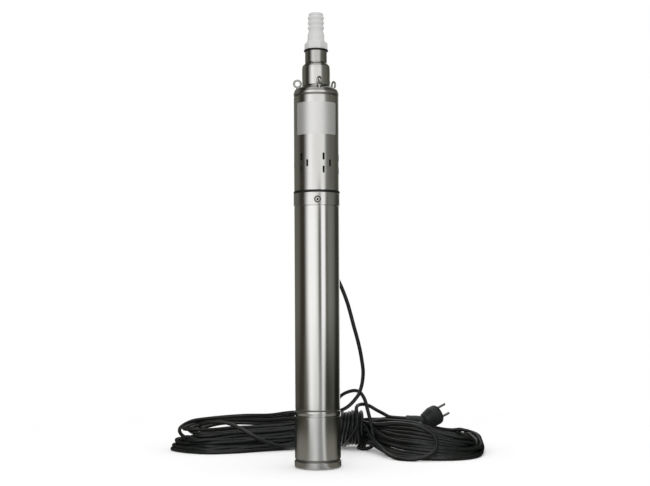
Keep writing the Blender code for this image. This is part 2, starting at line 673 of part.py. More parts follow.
def build_motor(motor_axis):
    """Lower bracket, bearings, shaft, rotor, stator and the long motor shell."""
    lower_r = LOWER_SHELL_R - SHELL_WALL - SEAT
    pocket_r = BEARING_OUTER_R + SEAT
    pocket_z = LOWER_BEARING_Z - SEAT
    well_z = pocket_z - SHAFT_WELL_H
    web_z = well_z - BRACKET_WEB
    turned("lower_bracket", [
        (0, well_z), (SHAFT_WELL_R, well_z), (SHAFT_WELL_R, pocket_z), (pocket_r, pocket_z),
        (pocket_r, BRACKET_TOP), (SPIGOT_R, BRACKET_TOP), (SPIGOT_R, LOWER_SHELL_TOP),
        (lower_r, LOWER_SHELL_TOP), (lower_r, BRACKET_Z), (lower_r - BRACKET_RIM, BRACKET_Z),
        (lower_r - BRACKET_RIM, web_z), (0, web_z),
    ], CAST)
    bead_top = MOTOR_SHELL_Z + BEAD_H
    flare_top = bead_top + FLARE_H
    turned("motor_shell", [
        (MOTOR_SHELL_R, MOTOR_SHELL_TOP), (MOTOR_SHELL_R, flare_top),
        (BEAD_R - SHELL_WALL / 2, bead_top), (BEAD_R, MOTOR_SHELL_Z + BEAD_H / 2),
        (BEAD_R - SHELL_WALL / 2, MOTOR_SHELL_Z), (SHELL_BORE_R, MOTOR_SHELL_Z),
        (SHELL_BORE_R, MOTOR_SHELL_TOP),
    ], POLISHED)

    build_stator()

    _, lower_inner = bearing("lower", LOWER_BEARING_Z)
    _, upper_inner = bearing("upper", UPPER_BEARING_Z)
    journal_top = LOWER_BEARING_Z + BEARING_W + SEAT
    seat_z = STACK_Z - ROTOR_END_RING_H - SHAFT_SHOULDER
    seal_step = UPPER_BEARING_Z + BEARING_W + 3 * SEAT
    shaft_low = LOWER_BEARING_Z - SHAFT_BELOW_BEARING
    shoulder_r = SHAFT_ROTOR_SEAT_R + SHAFT_SHOULDER / 4
    shaft = turned("motor_shaft", [
        (0, SHAFT_TOP - SEAT), (SHAFT_SEAL_R, SHAFT_TOP - SEAT), (SHAFT_SEAL_R, seal_step),
        (BEARING_BORE_R, seal_step), (BEARING_BORE_R, UPPER_BEARING_Z - SEAT),
        (SHAFT_ROTOR_SEAT_R, UPPER_BEARING_Z - SEAT), (SHAFT_ROTOR_SEAT_R, seat_z),
        (shoulder_r, seat_z), (shoulder_r, seat_z - SHAFT_SHOULDER),
        (SHAFT_ROTOR_SEAT_R, seat_z - SHAFT_SHOULDER), (SHAFT_ROTOR_SEAT_R, journal_top),
        (BEARING_BORE_R, journal_top), (BEARING_BORE_R, shaft_low), (0, shaft_low),
    ], HARD_STEEL, INNER_SIDES)
    core_r = STATOR_BORE_R - AIR_GAP
    core_bore = SHAFT_ROTOR_SEAT_R + SEAT
    core = turned("rotor_core", tube_profile(core_r, core_r - core_bore, STACK_Z, STACK_TOP),
                  LAMINATED, INNER_SIDES)
    ring_r = core_r - AIR_GAP
    ring_wall = ring_r - SHAFT_ROTOR_SEAT_R - ROTOR_END_RING_GAP
    lower_ring = turned("rotor_end_ring_lower", tube_profile(
        ring_r, ring_wall, STACK_Z - SEAT - ROTOR_END_RING_H, STACK_Z - SEAT),
        ALUMINIUM, INNER_SIDES)
    upper_ring = turned("rotor_end_ring_upper", tube_profile(
        ring_r, ring_wall, STACK_TOP + SEAT, STACK_TOP + SEAT + ROTOR_END_RING_H),
        ALUMINIUM, INNER_SIDES)
    carry(motor_axis, shaft, core, lower_ring, upper_ring, lower_inner, upper_inner)


def build_stator():
    """Laminated stator core with open slots, and the winding whose bars lie in them."""
    slot_floor = SPIGOT_R - STATOR_BACK_IRON
    slot_step = 2 * pi / STATOR_SLOTS
    curve = bpy.data.curves.new("stator_core", "CURVE")
    curve.dimensions = "2D"
    curve.fill_mode = "BOTH"
    curve.extrude = STACK_L / 2
    mouth = STATOR_SLOT_MOUTH / 2
    half = STATOR_SLOT_W / 2
    neck = STATOR_BORE_R + STATOR_TOOTH_TIP
    tooth = (STATOR_BORE_R * cos(slot_step / 2), STATOR_BORE_R * sin(slot_step / 2))
    slot = [(STATOR_BORE_R, -mouth), (neck, -half), (slot_floor, -half), (slot_floor, half),
            (neck, half), (STATOR_BORE_R, mouth), tooth]
    inner = [Matrix.Rotation(k * slot_step, 2) @ Vector(point)
             for k in range(STATOR_SLOTS) for point in slot]
    outer = [Vector((SPIGOT_R * cos(2 * pi * i / SIDES), SPIGOT_R * sin(2 * pi * i / SIDES)))
             for i in range(SIDES)]
    for outline in (outer, inner):
        line = curve.splines.new("POLY")
        line.points.add(len(outline) - 1)
        line.use_cyclic_u = True
        for point, place in zip(line.points, outline):
            point.co = (place.x, place.y, 0, 1)
    curve.materials.append(LAMINATED)
    core = bpy.data.objects.new("stator_core", curve)
    core.location.z = STACK_Z + STACK_L / 2
    PARTS.objects.link(core)

    def end_bundle(name, low, collection):
        high = low + END_WINDING_H
        inside, rim = STATOR_BORE_R + 2 * COIL_CLEARANCE, END_WINDING_ROUND
        return turned(name, [
            (inside, low), (END_WINDING_R - rim, low), (END_WINDING_R, low + rim),
            (END_WINDING_R, high - rim), (END_WINDING_R - rim, high), (inside, high),
        ], COPPER, INNER_SIDES, collection=collection)

    winding = end_bundle("stator_winding", STACK_Z - SEAT - END_WINDING_H, PARTS)
    combine(winding, as_cutter(end_bundle("upper_end_winding", STACK_TOP + SEAT,
                                           CUTTERS)), "UNION")
    bm = bmesh.new()
    near = neck + COIL_CLEARANCE
    far = slot_floor - COIL_CLEARANCE
    bar_half = half - COIL_CLEARANCE
    reach = 2 * COIL_CLEARANCE
    bar = [(near, -bar_half), (far, -bar_half), (far, bar_half), (near, bar_half)]
    for k in range(STATOR_SLOTS):
        prism(bm, [(x, y, STACK_Z - reach, STACK_TOP + reach) for x, y in bar],
              Matrix.Rotation(k * slot_step, 4, "Z"))
    bars = bpy.data.objects.new("winding_bars", mesh_from(bm, "winding_bars"))
    CUTTERS.objects.link(bars)
    combine(winding, as_cutter(bars), "UNION")


def build_motor_head(motor_axis):
    """Motor head with its shaft seal, side screws, cable gland and the rubber joint ring."""
    ring_z = HEAD_Z + HEAD_SPIGOT_DOWN * 0.6
    pocket_r = BEARING_OUTER_R + SEAT
    pocket_top = UPPER_BEARING_Z + BEARING_W + SEAT
    profile = [
        (SEAL_CHAMBER_R, HEAD_TOP), (SPIGOT_R, HEAD_TOP), (SPIGOT_R, COLLAR_TOP),
        (COLLAR_R - COLLAR_EDGE, COLLAR_TOP), (COLLAR_R, COLLAR_TOP - COLLAR_EDGE),
        (COLLAR_R, COLLAR_Z + COLLAR_EDGE), (COLLAR_R - COLLAR_EDGE, COLLAR_Z),
        (SPIGOT_R, COLLAR_Z),
    ]
    profile += groove(SPIGOT_R, ring_z)
    profile += [
        (SPIGOT_R, HEAD_Z), (pocket_r, HEAD_Z), (pocket_r, pocket_top), (HEAD_BORE_R, pocket_top),
        (HEAD_BORE_R, SEAL_POCKET_Z), (SEAL_POCKET_R, SEAL_POCKET_Z),
        (SEAL_POCKET_R, SEAL_CHAMBER_Z), (SEAL_CHAMBER_R, SEAL_CHAMBER_Z),
    ]
    head = turned("motor_head", profile, POLISHED)
    o_ring("head_o_ring", SPIGOT_R, ring_z)
    joint_wall = JOINT_RING_R - SPIGOT_R - SEAT
    turned("joint_ring", tube_profile(JOINT_RING_R, joint_wall, JOINT_RING_Z,
                                      JOINT_RING_Z + JOINT_RING_H), BLACK_RUBBER)

    gland_place = (0, GLAND_FACE_Y, GLAND_Z)
    way = cylinder_cutter("wire_way", WIRE_WAY_R, HEAD_Z - WIRE_WAY_R, GLAND_Z + WIRE_WAY_R / 2,
                          at=(0, GLAND_FACE_Y - WIRE_WAY_DEPTH, 0))
    combine(head, way, "DIFFERENCE")
    hole = cylinder_cutter("gland_hole", GLAND_SHANK_R + SEAT, -WIRE_WAY_DEPTH - WIRE_WAY_R / 3,
                           WIRE_WAY_DEPTH, (0, 1, 0), gland_place)
    combine(head, hole, "DIFFERENCE")
    spot = cylinder_cutter("gland_spot_face", GLAND_ACROSS_FLATS * 0.62, 0, WIRE_WAY_DEPTH,
                           (0, 1, 0), gland_place)
    combine(head, spot, "DIFFERENCE")
    for place, azimuth in SIDE_SCREW_AZIMUTHS.items():
        add_side_screw(head, place, azimuth)
    build_gland()

    seat_r = SEAL_POCKET_R - SEAT
    shaft_gap = SHAFT_SEAL_R + SEAT
    seat_z = SEAL_POCKET_Z + SEAT
    turned("seal_seat", [
        (shaft_gap + 2 * SEAT, seat_z), (seat_r, seat_z), (seat_r, seat_z + SEAL_SEAT_H),
        (shaft_gap + 2 * SEAT, seat_z + SEAL_SEAT_H),
    ], CARBON, INNER_SIDES)
    seal_z = seat_z + SEAL_SEAT_H + SEAT
    seal_top = seal_z + SEAL_HEAD_H
    waist = SEAL_HEAD_R - 4 * SEAT
    seal_head = turned("seal_head", [
        (shaft_gap, seal_z), (waist, seal_z), (waist, seal_z + SEAL_HEAD_H / 4),
        (SEAL_HEAD_R, seal_z + SEAL_HEAD_H / 3), (SEAL_HEAD_R, seal_top), (shaft_gap, seal_top),
    ], BLACK_RUBBER, INNER_SIDES)
    lip = SLINGER_H / 2
    slinger = turned("sand_slinger", [
        (shaft_gap, SLINGER_Z), (SLINGER_R - lip, SLINGER_Z + lip / 2), (SLINGER_R, SLINGER_Z),
        (SLINGER_R, SLINGER_Z + lip), (SLINGER_R - lip, SLINGER_Z + SLINGER_H),
        (shaft_gap, SLINGER_Z + SLINGER_H),
    ], BLACK_RUBBER, INNER_SIDES)
    carry(motor_axis, seal_head, slinger)


def add_side_screw(head, place, azimuth):
    """One socket screw in its counterbored hole in the side of the motor head."""
    outwards = around(azimuth, 1, 0)
    face = around(azimuth, COLLAR_R - SIDE_SCREW_SUNK, SIDE_SCREW_Z)
    head_z = -SIDE_SCREW_HEAD_H
    tip = head_z - SIDE_SCREW_L
    hole = cylinder_cutter("screw_hole_" + place, SIDE_SCREW_SHANK_R + SEAT, tip - SEAT, 0,
                           outwards, face, HOLE_SIDES)
    recess = cylinder_cutter("counterbore_" + place, COUNTERBORE_R, head_z - SEAT,
                             SIDE_SCREW_HEAD_H, outwards, face)
    combine(head, hole, "DIFFERENCE")
    combine(head, recess, "DIFFERENCE")
    screw = turned("head_screw_" + place, [
        (0, 0), (SIDE_SCREW_HEAD_R - SEAT, 0), (SIDE_SCREW_HEAD_R, -2 * SEAT),
        (SIDE_SCREW_HEAD_R, head_z), (SIDE_SCREW_SHANK_R, head_z), (SIDE_SCREW_SHANK_R, tip),
        (0, tip),
    ], SATIN, SMALL_SIDES, outwards, face)
    key = cylinder_cutter("screw_socket_" + place, SOCKET_KEY_R, -SIDE_SCREW_HEAD_H / 2,
                          SIDE_SCREW_HEAD_H, outwards, face, 6)
    combine(screw, key, "DIFFERENCE")


def build_gland():
    """Cable gland screwed into the rear of the motor head, with its rubber sleeve."""
    hole = CABLE_R + SEAT
    nut_z = SEAT
    place = (0, GLAND_FACE_Y, GLAND_Z)
    gland = turned("cable_gland", [
        (0, -GLAND_SHANK_L), (GLAND_SHANK_R, -GLAND_SHANK_L), (GLAND_SHANK_R, nut_z + SEAT),
        (0, nut_z + SEAT),
    ], HARD_STEEL, SMALL_SIDES, (0, 1, 0), place)
    corner_r = GLAND_ACROSS_FLATS / 2 / cos(pi / 6)
    nut = cylinder_cutter("gland_hexagon", corner_r, nut_z, nut_z + GLAND_HEX_H, (0, 1, 0),
                          place, 6)
    combine(gland, nut, "UNION")
    bore = cylinder_cutter("gland_bore", hole, -2 * GLAND_SHANK_L, 2 * GLAND_SHANK_L, (0, 1, 0),
                           place, SMALL_SIDES)
    combine(gland, bore, "DIFFERENCE")
    low = nut_z + GLAND_HEX_H + SEAT
    high = low + SLEEVE_L
    turned("cable_sleeve", [
        (hole, low), (SLEEVE_R, low), (SLEEVE_R, low + SLEEVE_L / 4), (SLEEVE_TIP_R, high),
        (hole, high),
    ], BLACK_RUBBER, SMALL_SIDES, (0, 1, 0), place)


def build_casing():
    """Slotted pump casing: pairs of slots with a single slot halfway between."""
    casing = turned("pump_casing", tube_profile(CASING_R, SHELL_WALL, CASING_Z, CASING_TOP),
                    POLISHED)
    bm = bmesh.new()
    half = SLOT_W / 2
    straight = SLOT_L / 2 - half
    upper = [(half * cos(a), straight + half * sin(a)) for a in (0, pi / 3, 2 * pi / 3, pi)]
    outline = upper + [(-x, -y) for x, y in upper]
    near, far = CASING_R - 3 * SHELL_WALL, CASING_R + SHELL_WALL
    column_step = 2 * pi / SLOT_COLUMNS
    middle = CASING_Z + SLOT_MIDDLE_Z
    for k in range(SLOT_COLUMNS):
        pair = SLOT_FIRST_AZIMUTH + k * column_step
        single = pair + SLOT_SINGLE_TURN
        places = [(pair, middle + SLOT_PAIR_PITCH / 2), (pair, middle - SLOT_PAIR_PITCH / 2),
                  (single, middle)]
        for azimuth, height in places:
            turn = Matrix.Rotation(azimuth, 4, "Z") @ Matrix.Rotation(pi / 2, 4, "X")
            prism(bm, [(x, y, near, far) for x, y in outline],
                  Matrix.Translation((0, 0, height)) @ turn)
    slots = bpy.data.objects.new("intake_slots", mesh_from(bm, "intake_slots"))
    CUTTERS.objects.link(slots)
    combine(casing, as_cutter(slots), "DIFFERENCE")


def build_screw_stage(motor_axis, flex_axis, rotor_axis):
    """Coupling hub, flexible shaft, single-helix rotor and the double-helix rubber stator."""
    hub_bore = SHAFT_SEAL_R + SEAT
    flex_bore = FLEX_R + SEAT
    hub_top = HUB_Z + HUB_L
    web_top = SHAFT_TOP + HUB_WEB
    hub = turned("coupling_hub", [
        (0, web_top), (flex_bore, web_top), (flex_bore, hub_top), (HUB_R, hub_top), (HUB_R, HUB_Z),
        (hub_bore, HUB_Z), (hub_bore, SHAFT_TOP), (0, SHAFT_TOP),
    ], HARD_STEEL, INNER_SIDES)
    carry(motor_axis, hub)

    bend_low = hub_top
    bend_high = ROTOR_Z
    path = []
    for i in range(FLEX_POINTS):
        z = FLEX_Z + (FLEX_TOP - FLEX_Z) * i / (FLEX_POINTS - 1)
        share = min(1.0, max(0.0, (z - bend_low) / (bend_high - bend_low)))
        path.append(Vector((ECCENTRICITY * (1 - cos(pi * share)) / 2, 0, z)))
    flex = rod("flexible_shaft", path, FLEX_R, HARD_STEEL)
    carry(flex_axis, flex)

    stator_z = STATOR_RUBBER_Z
    rotor_top = stator_z + STATOR_L + ROTOR_POKE
    screw_length = rotor_top - ROTOR_Z
    turns = screw_length / ROTOR_PITCH
    levels = ceil(turns * ROTOR_SECTIONS_PER_TURN)
    rings = []
    for i in range(levels + 1):
        z = screw_length * i / levels
        swing = ECCENTRICITY * min(1.0, max(0.0, (z - ROTOR_HEAD_L / 2) / (ROTOR_HEAD_L / 2)))
        phase = 2 * pi * (z + ROTOR_Z - stator_z) / ROTOR_PITCH
        centre = Vector((swing * cos(phase), swing * sin(phase), z))
        rings.append([centre + Vector((ROTOR_SECTION_R * cos(a), ROTOR_SECTION_R * sin(a), 0))
                      for a in (2 * pi * j / ROTOR_SECTION_POINTS
                                for j in range(ROTOR_SECTION_POINTS))])
    rotor = add_object("screw_rotor", lofted_mesh("screw_rotor", rings), CHROMED)
    rotor.location = (ECCENTRICITY, 0, ROTOR_Z)
    socket = cylinder_cutter("rotor_socket", flex_bore, -SEAT, FLEX_SOCKET_DEPTH,
                             at=(ECCENTRICITY, 0, ROTOR_Z))
    combine(rotor, socket, "DIFFERENCE")
    carry(rotor_axis, rotor)

    turned("stator_tube", tube_profile(STATOR_TUBE_R, STATOR_TUBE_WALL,
                                       stator_z - STATOR_END_GAP, STATOR_TUBE_TOP),
           SATIN, INNER_SIDES)
    rubber = turned("stator_rubber", [
        (0, stator_z), (STATOR_RUBBER_R, stator_z), (STATOR_RUBBER_R, stator_z + STATOR_L),
        (0, stator_z + STATOR_L),
    ], GREY_RUBBER, INNER_SIDES)
    cavity = add_object("stator_cavity", lofted_mesh("stator_cavity", cavity_rings(stator_z)),
                        None, CUTTERS)
    combine(rubber, as_cutter(cavity), "DIFFERENCE")


def cavity_rings(stator_z):
    """Sections of the stator's cavity: two half circles a slot apart, at half the rotor's twist."""
    radius = ROTOR_SECTION_R + ROTOR_CLEARANCE
    shift = 2 * ECCENTRICITY
    half = [(shift + radius * cos(a), radius * sin(a))
            for a in (-pi / 2 + pi * j / (CAVITY_HALF_POINTS - 1)
                      for j in range(CAVITY_HALF_POINTS))]
    flank = [(0, radius)]
    section = half + flank + [(-x, -y) for x, y in half + flank]
    overrun = ROTOR_PITCH / ROTOR_SECTIONS_PER_TURN
    length = STATOR_L + 2 * overrun
    levels = ceil(length / (2 * ROTOR_PITCH) * CAVITY_SECTIONS_PER_TURN)
    rings = []
    for i in range(levels + 1):
        z = stator_z - overrun + length * i / levels
        turn = pi * (z - stator_z) / ROTOR_PITCH
        rings.append([Vector((x * cos(turn) - y * sin(turn), x * sin(turn) + y * cos(turn), z))
                      for x, y in section])
    return rings


def build_discharge(poppet_axis):
    """Discharge head, eye bolts, outlet socket with its check valve, washer and hose tail."""
    base = DISCHARGE_Z
    spigot = CASING_R - SHELL_WALL - SEAT
    inside = spigot - DISCHARGE_SPIGOT_WALL
    boss_bore = STATOR_TUBE_R + SEAT
    boss_r = boss_bore + STATOR_BOSS_WALL
    web_z = base + DISCHARGE_WEB_H
    boss_z = base - STATOR_BOSS_DROP
    lip_bore = SOCKET_SPIGOT_R + SEAT
    top = base + NECK_TOP_H
    shoulder_z = base + DISCHARGE_SHOULDER_H
    edge = DISCHARGE_COLLAR_R - DISCHARGE_SHOULDER_R
    neck_z = base + NECK_FOOT_H
    profile = [(lip_bore, top), (NECK_TOP_R, top)]
    drop = NECK_TOP_H - NECK_STRAIGHT_H
    profile += [(NECK_TOP_R + (NECK_R - NECK_TOP_R) * sin(a), top - drop * (1 - cos(a)))
                for a in (pi / 6, pi / 3)]
    profile += [(NECK_R, base + NECK_STRAIGHT_H), (NECK_R, neck_z)]
    profile += [(NECK_R + (DISCHARGE_SHOULDER_R - NECK_R) * 0.35, shoulder_z + SEAT)]
    profile += [(DISCHARGE_SHOULDER_R + edge * sin(a),
                 base + DISCHARGE_COLLAR_H + (DISCHARGE_SHOULDER_H - DISCHARGE_COLLAR_H) * cos(a))
                for a in (0, pi / 6, pi / 3, pi / 2)]
    profile += [
        (DISCHARGE_COLLAR_R, base + DISCHARGE_GROOVE_H),
        (DISCHARGE_GROOVE_R, base + DISCHARGE_GROOVE_H), (DISCHARGE_GROOVE_R, base),
        (spigot, base), (spigot, base - DISCHARGE_SPIGOT_L), (inside, base - DISCHARGE_SPIGOT_L),
        (inside, web_z), (boss_r, web_z), (boss_r, boss_z), (boss_bore, boss_z),
        (boss_bore, STATOR_SOCKET_TOP), (NECK_BORE_R, STATOR_SOCKET_TOP),
        (NECK_BORE_R, top - NECK_LIP), (lip_bore, top - NECK_LIP),
    ]
    head = turned("discharge_head", profile, POLISHED)
    for place, azimuth in EYE_AZIMUTHS.items():
        add_eye_bolt(head, place, azimuth, EYE_TURNS[place], EYE_RISES[place])
    build_check_valve(poppet_axis)
    turned("hose_washer", tube_profile(WASHER_R, WASHER_R - TAIL_SPIGOT_R - SEAT, WASHER_Z,
                                       WASHER_Z + WASHER_H), BLACK_RUBBER, TOP_SIDES)
    build_hose_tail()


def add_eye_bolt(head, place, azimuth, turn, rise):
    """One lifting eye screwed into a spot-faced hole in the shoulder of the discharge head."""
    foot = around(azimuth, EYE_CIRCLE_R, EYE_SPOT_Z)
    spot = cylinder_cutter("eye_spot_" + place, EYE_SPOT_R, 0, rise, at=foot)
    hole = cylinder_cutter("eye_hole_" + place, EYE_SHANK_R + SEAT, -EYE_SHANK_L - SEAT, rise,
                           at=foot, sides=HOLE_SIDES)
    combine(head, spot, "DIFFERENCE")
    combine(head, hole, "DIFFERENCE")
    collar_top = SEAT + EYE_COLLAR_H
    ring_low = rise - EYE_RING_R
    eye = turned("eye_bolt_" + place, [
        (0, -EYE_SHANK_L), (EYE_SHANK_R, -EYE_SHANK_L), (EYE_SHANK_R, SEAT), (EYE_COLLAR_R, SEAT),
        (EYE_COLLAR_R, collar_top), (EYE_NECK_R, collar_top + EYE_COLLAR_H / 2),
        (EYE_WIRE_R, ring_low), (0, ring_low),
    ], SATIN, HOLE_SIDES, at=foot)
    bpy.ops.mesh.primitive_torus_add(
        major_radius=EYE_RING_R, minor_radius=EYE_WIRE_R, major_segments=EYE_RING_SIDES,
        minor_segments=EYE_WIRE_SIDES, location=foot + Vector((0, 0, rise)),
        rotation=(pi / 2, 0, turn))
    ring = bpy.context.active_object
    ring.name = "eye_ring_" + place
    for collection in list(ring.users_collection):
        collection.objects.unlink(ring)
    CUTTERS.objects.link(ring)
    combine(eye, as_cutter(ring), "UNION")


def build_check_valve(poppet_axis):
    """Outlet socket with the valve seat in its spigot, the sprung poppet and its stem guide."""
    foot = SOCKET_Z - SOCKET_SPIGOT_L
    top = SOCKET_Z + SOCKET_L
    shelf = top - SOCKET_THREAD_L
    chamfer = VALVE_SEAT_CHAMFER
    turned("outlet_socket", [
        (SOCKET_THREAD_R, top), (SOCKET_R, top), (SOCKET_R, SOCKET_Z), (SOCKET_SPIGOT_R, SOCKET_Z),
        (SOCKET_SPIGOT_R, foot), (VALVE_SEAT_R, foot), (VALVE_SEAT_R, VALVE_SEAT_TOP - chamfer),
        (VALVE_SEAT_R + chamfer, VALVE_SEAT_TOP), (SOCKET_BORE_R, VALVE_SEAT_TOP),
        (SOCKET_BORE_R, shelf), (SOCKET_THREAD_R, shelf),
    ], SATIN, TOP_SIDES)
    low = VALVE_SEAT_TOP + SEAT
    disc_top = low + POPPET_H
    stop = GUIDE_Z - POPPET_LIFT
    stem_top = GUIDE_Z + GUIDE_H + POPPET_STEM_POKE
    skirt = VALVE_SEAT_R - chamfer
    poppet = turned("valve_poppet", [
        (0, low - chamfer), (skirt, low - chamfer), (skirt + chamfer, low), (POPPET_R, low),
        (POPPET_R, disc_top), (POPPET_STOP_R, disc_top), (POPPET_STOP_R, stop),
        (POPPET_STEM_R, stop), (POPPET_STEM_R, stem_top), (0, stem_top),
    ], BLACK_RUBBER, INNER_SIDES)
    carry(poppet_axis, poppet)

    guide_bore = POPPET_STEM_R + GUIDE_CLEARANCE
    ring_r = SOCKET_THREAD_R - SEAT
    guide_top = GUIDE_Z + GUIDE_H
    guide = turned("valve_guide", tube_profile(GUIDE_HUB_R, GUIDE_HUB_R - guide_bore, GUIDE_Z,
                                               guide_top), SATIN, INNER_SIDES)
    rim = as_cutter(turned("guide_rim", tube_profile(
        ring_r, GUIDE_RING_WALL + ring_r - SOCKET_BORE_R, GUIDE_Z, guide_top), None, INNER_SIDES,
        collection=CUTTERS))
    combine(guide, rim, "UNION")
    bm = bmesh.new()
    overlap = GUIDE_CLEARANCE
    near = guide_bore + overlap
    arm = [(near, -GUIDE_ARM_W / 2), (ring_r - overlap, -GUIDE_ARM_W / 2),
           (ring_r - overlap, GUIDE_ARM_W / 2), (near, GUIDE_ARM_W / 2)]
    for k in range(GUIDE_ARMS):
        prism(bm, [(x, y, GUIDE_Z + SEAT, guide_top - SEAT) for x, y in arm],
              Matrix.Rotation(2 * pi * k / GUIDE_ARMS, 4, "Z"))
    arms = bpy.data.objects.new("guide_arms", mesh_from(bm, "guide_arms"))
    CUTTERS.objects.link(arms)
    combine(guide, as_cutter(arms), "UNION")

    start = disc_top + SEAT + VALVE_SPRING_WIRE_R
    end = GUIDE_Z - SEAT - VALVE_SPRING_WIRE_R
    count = round(VALVE_SPRING_TURNS * VALVE_SPRING_POINTS)
    helix = []
    for i in range(count + 1):
        angle = 2 * pi * i / VALVE_SPRING_POINTS
        helix.append(Vector((VALVE_SPRING_R * cos(angle), VALVE_SPRING_R * sin(angle),
                             start + (end - start) * i / count)))
    rod("valve_spring", helix, VALVE_SPRING_WIRE_R, HARD_STEEL, 0)


def build_hose_tail():
    """Moulded hose tail: threaded spigot, hexagon, cone, cuff and three rounded barbs."""
    hex_top = TAIL_Z + TAIL_HEX_H
    cuff_z = hex_top + TAIL_CONE_H
    cuff_top = cuff_z + TAIL_CUFF_H
    barb_z = cuff_top + TAIL_NECK_H
    corner_r = TAIL_ACROSS_FLATS / 2 / cos(pi / 6)
    flat_r = TAIL_ACROSS_FLATS / 2
    profile = [(TAIL_BORE_R, TAIL_Z - TAIL_SPIGOT_L), (TAIL_SPIGOT_R, TAIL_Z - TAIL_SPIGOT_L),
               (TAIL_SPIGOT_R, TAIL_Z), (flat_r - SEAT, TAIL_Z), (flat_r - SEAT, hex_top),
               (TAIL_CUFF_R, cuff_z), (TAIL_CUFF_R, cuff_top)]
    for k in range(TAIL_BARBS):
        low = barb_z + k * TAIL_BARB_PITCH
        profile += [(TAIL_VALLEY_R, low + TAIL_BARB_PITCH * 0.4),
                    (TAIL_BARB_R, low + TAIL_BARB_PITCH * 0.85)]
    last = barb_z + TAIL_BARBS * TAIL_BARB_PITCH
    profile += [(TAIL_VALLEY_R, last + TAIL_NOSE_H / 3), (TAIL_NOSE_R, last + TAIL_NOSE_H),
                (TAIL_BORE_R, last + TAIL_NOSE_H)]
    tail = turned("hose_tail", profile, WHITE_PLASTIC, TOP_SIDES)
    hexagon = as_cutter(turned("tail_hexagon", [
        (flat_r - 4 * SEAT, TAIL_Z), (corner_r, TAIL_Z), (corner_r, hex_top),
        (flat_r - 4 * SEAT, hex_top),
    ], None, 6, collection=CUTTERS))
    combine(tail, hexagon, "UNION")


def build_cable():
    """Supply cable: the hanging lead, the hank on the floor, the tail and its two-pin plug."""
    spacing = 2.6 * 2 * CABLE_R
    rod("cable_lead", smooth_route(LEAD_ROUTE, spacing), CABLE_R, CABLE_SHEATH)
    tail = smooth_route(TAIL_ROUTE, spacing)
    rod("cable_tail", tail, CABLE_R, CABLE_SHEATH)

    curve = bpy.data.curves.new("cable_hank", "CURVE")
    curve.dimensions = "2D"
    curve.fill_mode = "BOTH"
    curve.extrude = HANK_H / 2
    line = curve.splines.new("NURBS")
    line.points.add(len(HANK_OUTLINE) - 1)
    line.use_cyclic_u = True
    line.order_u = 3
    line.resolution_u = 2
    for point, (x, y) in zip(line.points, HANK_OUTLINE):
        point.co = (x, y, 0, 1)
    curve.materials.append(CABLE_SHEATH)
    hank = bpy.data.objects.new("cable_hank", curve)
    hank.location.z = HANK_H / 2
    PARTS.objects.link(hank)

    neck = -PLUG_L
    rim = -PLUG_RIM_H
    turned("plug_body", [
        (0, 0), (PLUG_R - PLUG_EDGE, 0), (PLUG_R, -PLUG_EDGE), (PLUG_R, rim),
        (PLUG_R * 0.84, rim * 1.6), (PLUG_NECK_R * 1.18, neck * 0.78), (PLUG_NECK_R, neck),
        (0, neck),
    ], PLUG_PLASTIC, INNER_SIDES, PLUG_DIRECTION, PLUG_FACE)
    across = PLUG_DIRECTION.cross(Vector((0, 1, 0))).normalized()
    for place, side in (("upper", 1), ("lower", -1)):
        foot = PLUG_FACE + across * side * PIN_SPACING / 2 + PLUG_DIRECTION * SEAT
        turned("plug_pin_" + place, [
            (0, 0), (PIN_R, 0), (PIN_R, PIN_L - PIN_R / 2), (PIN_R / 2, PIN_L), (0, PIN_L),
        ], HARD_STEEL, SMALL_SIDES, PLUG_DIRECTION, foot)
    back = PLUG_FACE - PLUG_DIRECTION * (PLUG_L + 2 * SEAT)
    route = [Vector(p) for p in RELIEF_ROUTE]
    route += [back - PLUG_DIRECTION * RELIEF_STRAIGHT, back]
    count = len(route) - 1
    radii = [RELIEF_TIP_R + (RELIEF_R - RELIEF_TIP_R) * i / count for i in range(count + 1)]
    rod("plug_relief", route, RELIEF_R, PLUG_PLASTIC, 3, radii)


def main():
    motor_axis = axis_empty("motor_axis")
    flex_axis = axis_empty("flexible_shaft_axis")
    rotor_axis = axis_empty("screw_rotor_axis", ECCENTRICITY, ROTOR_Z)
    poppet_axis = axis_empty("valve_poppet_axis", 0, VALVE_SEAT_TOP)
    build_foot()
    build_motor(motor_axis)
    build_motor_head(motor_axis)
    build_casing()
    build_screw_stage(motor_axis, flex_axis, rotor_axis)
    build_discharge(poppet_axis)
    build_cable()


if __name__ == "__main__":
    main()
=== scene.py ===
"""Looks of the borehole submersible pump: steel barrel, white hose tail and hanked supply cable.

Everything is in metres in the frame's own axes: +Z up the pump's axis, -Y the front.
"""

import logging
from collections.abc import Callable
from dataclasses import dataclass
from enum import Enum
from math import ceil, cos, pi, radians, sin, sqrt
from random import Random

import bmesh
import bpy
import numpy as np
from bpy.types import Material, Mesh, Node, NodeTree, Object
from mathutils import Matrix, Vector


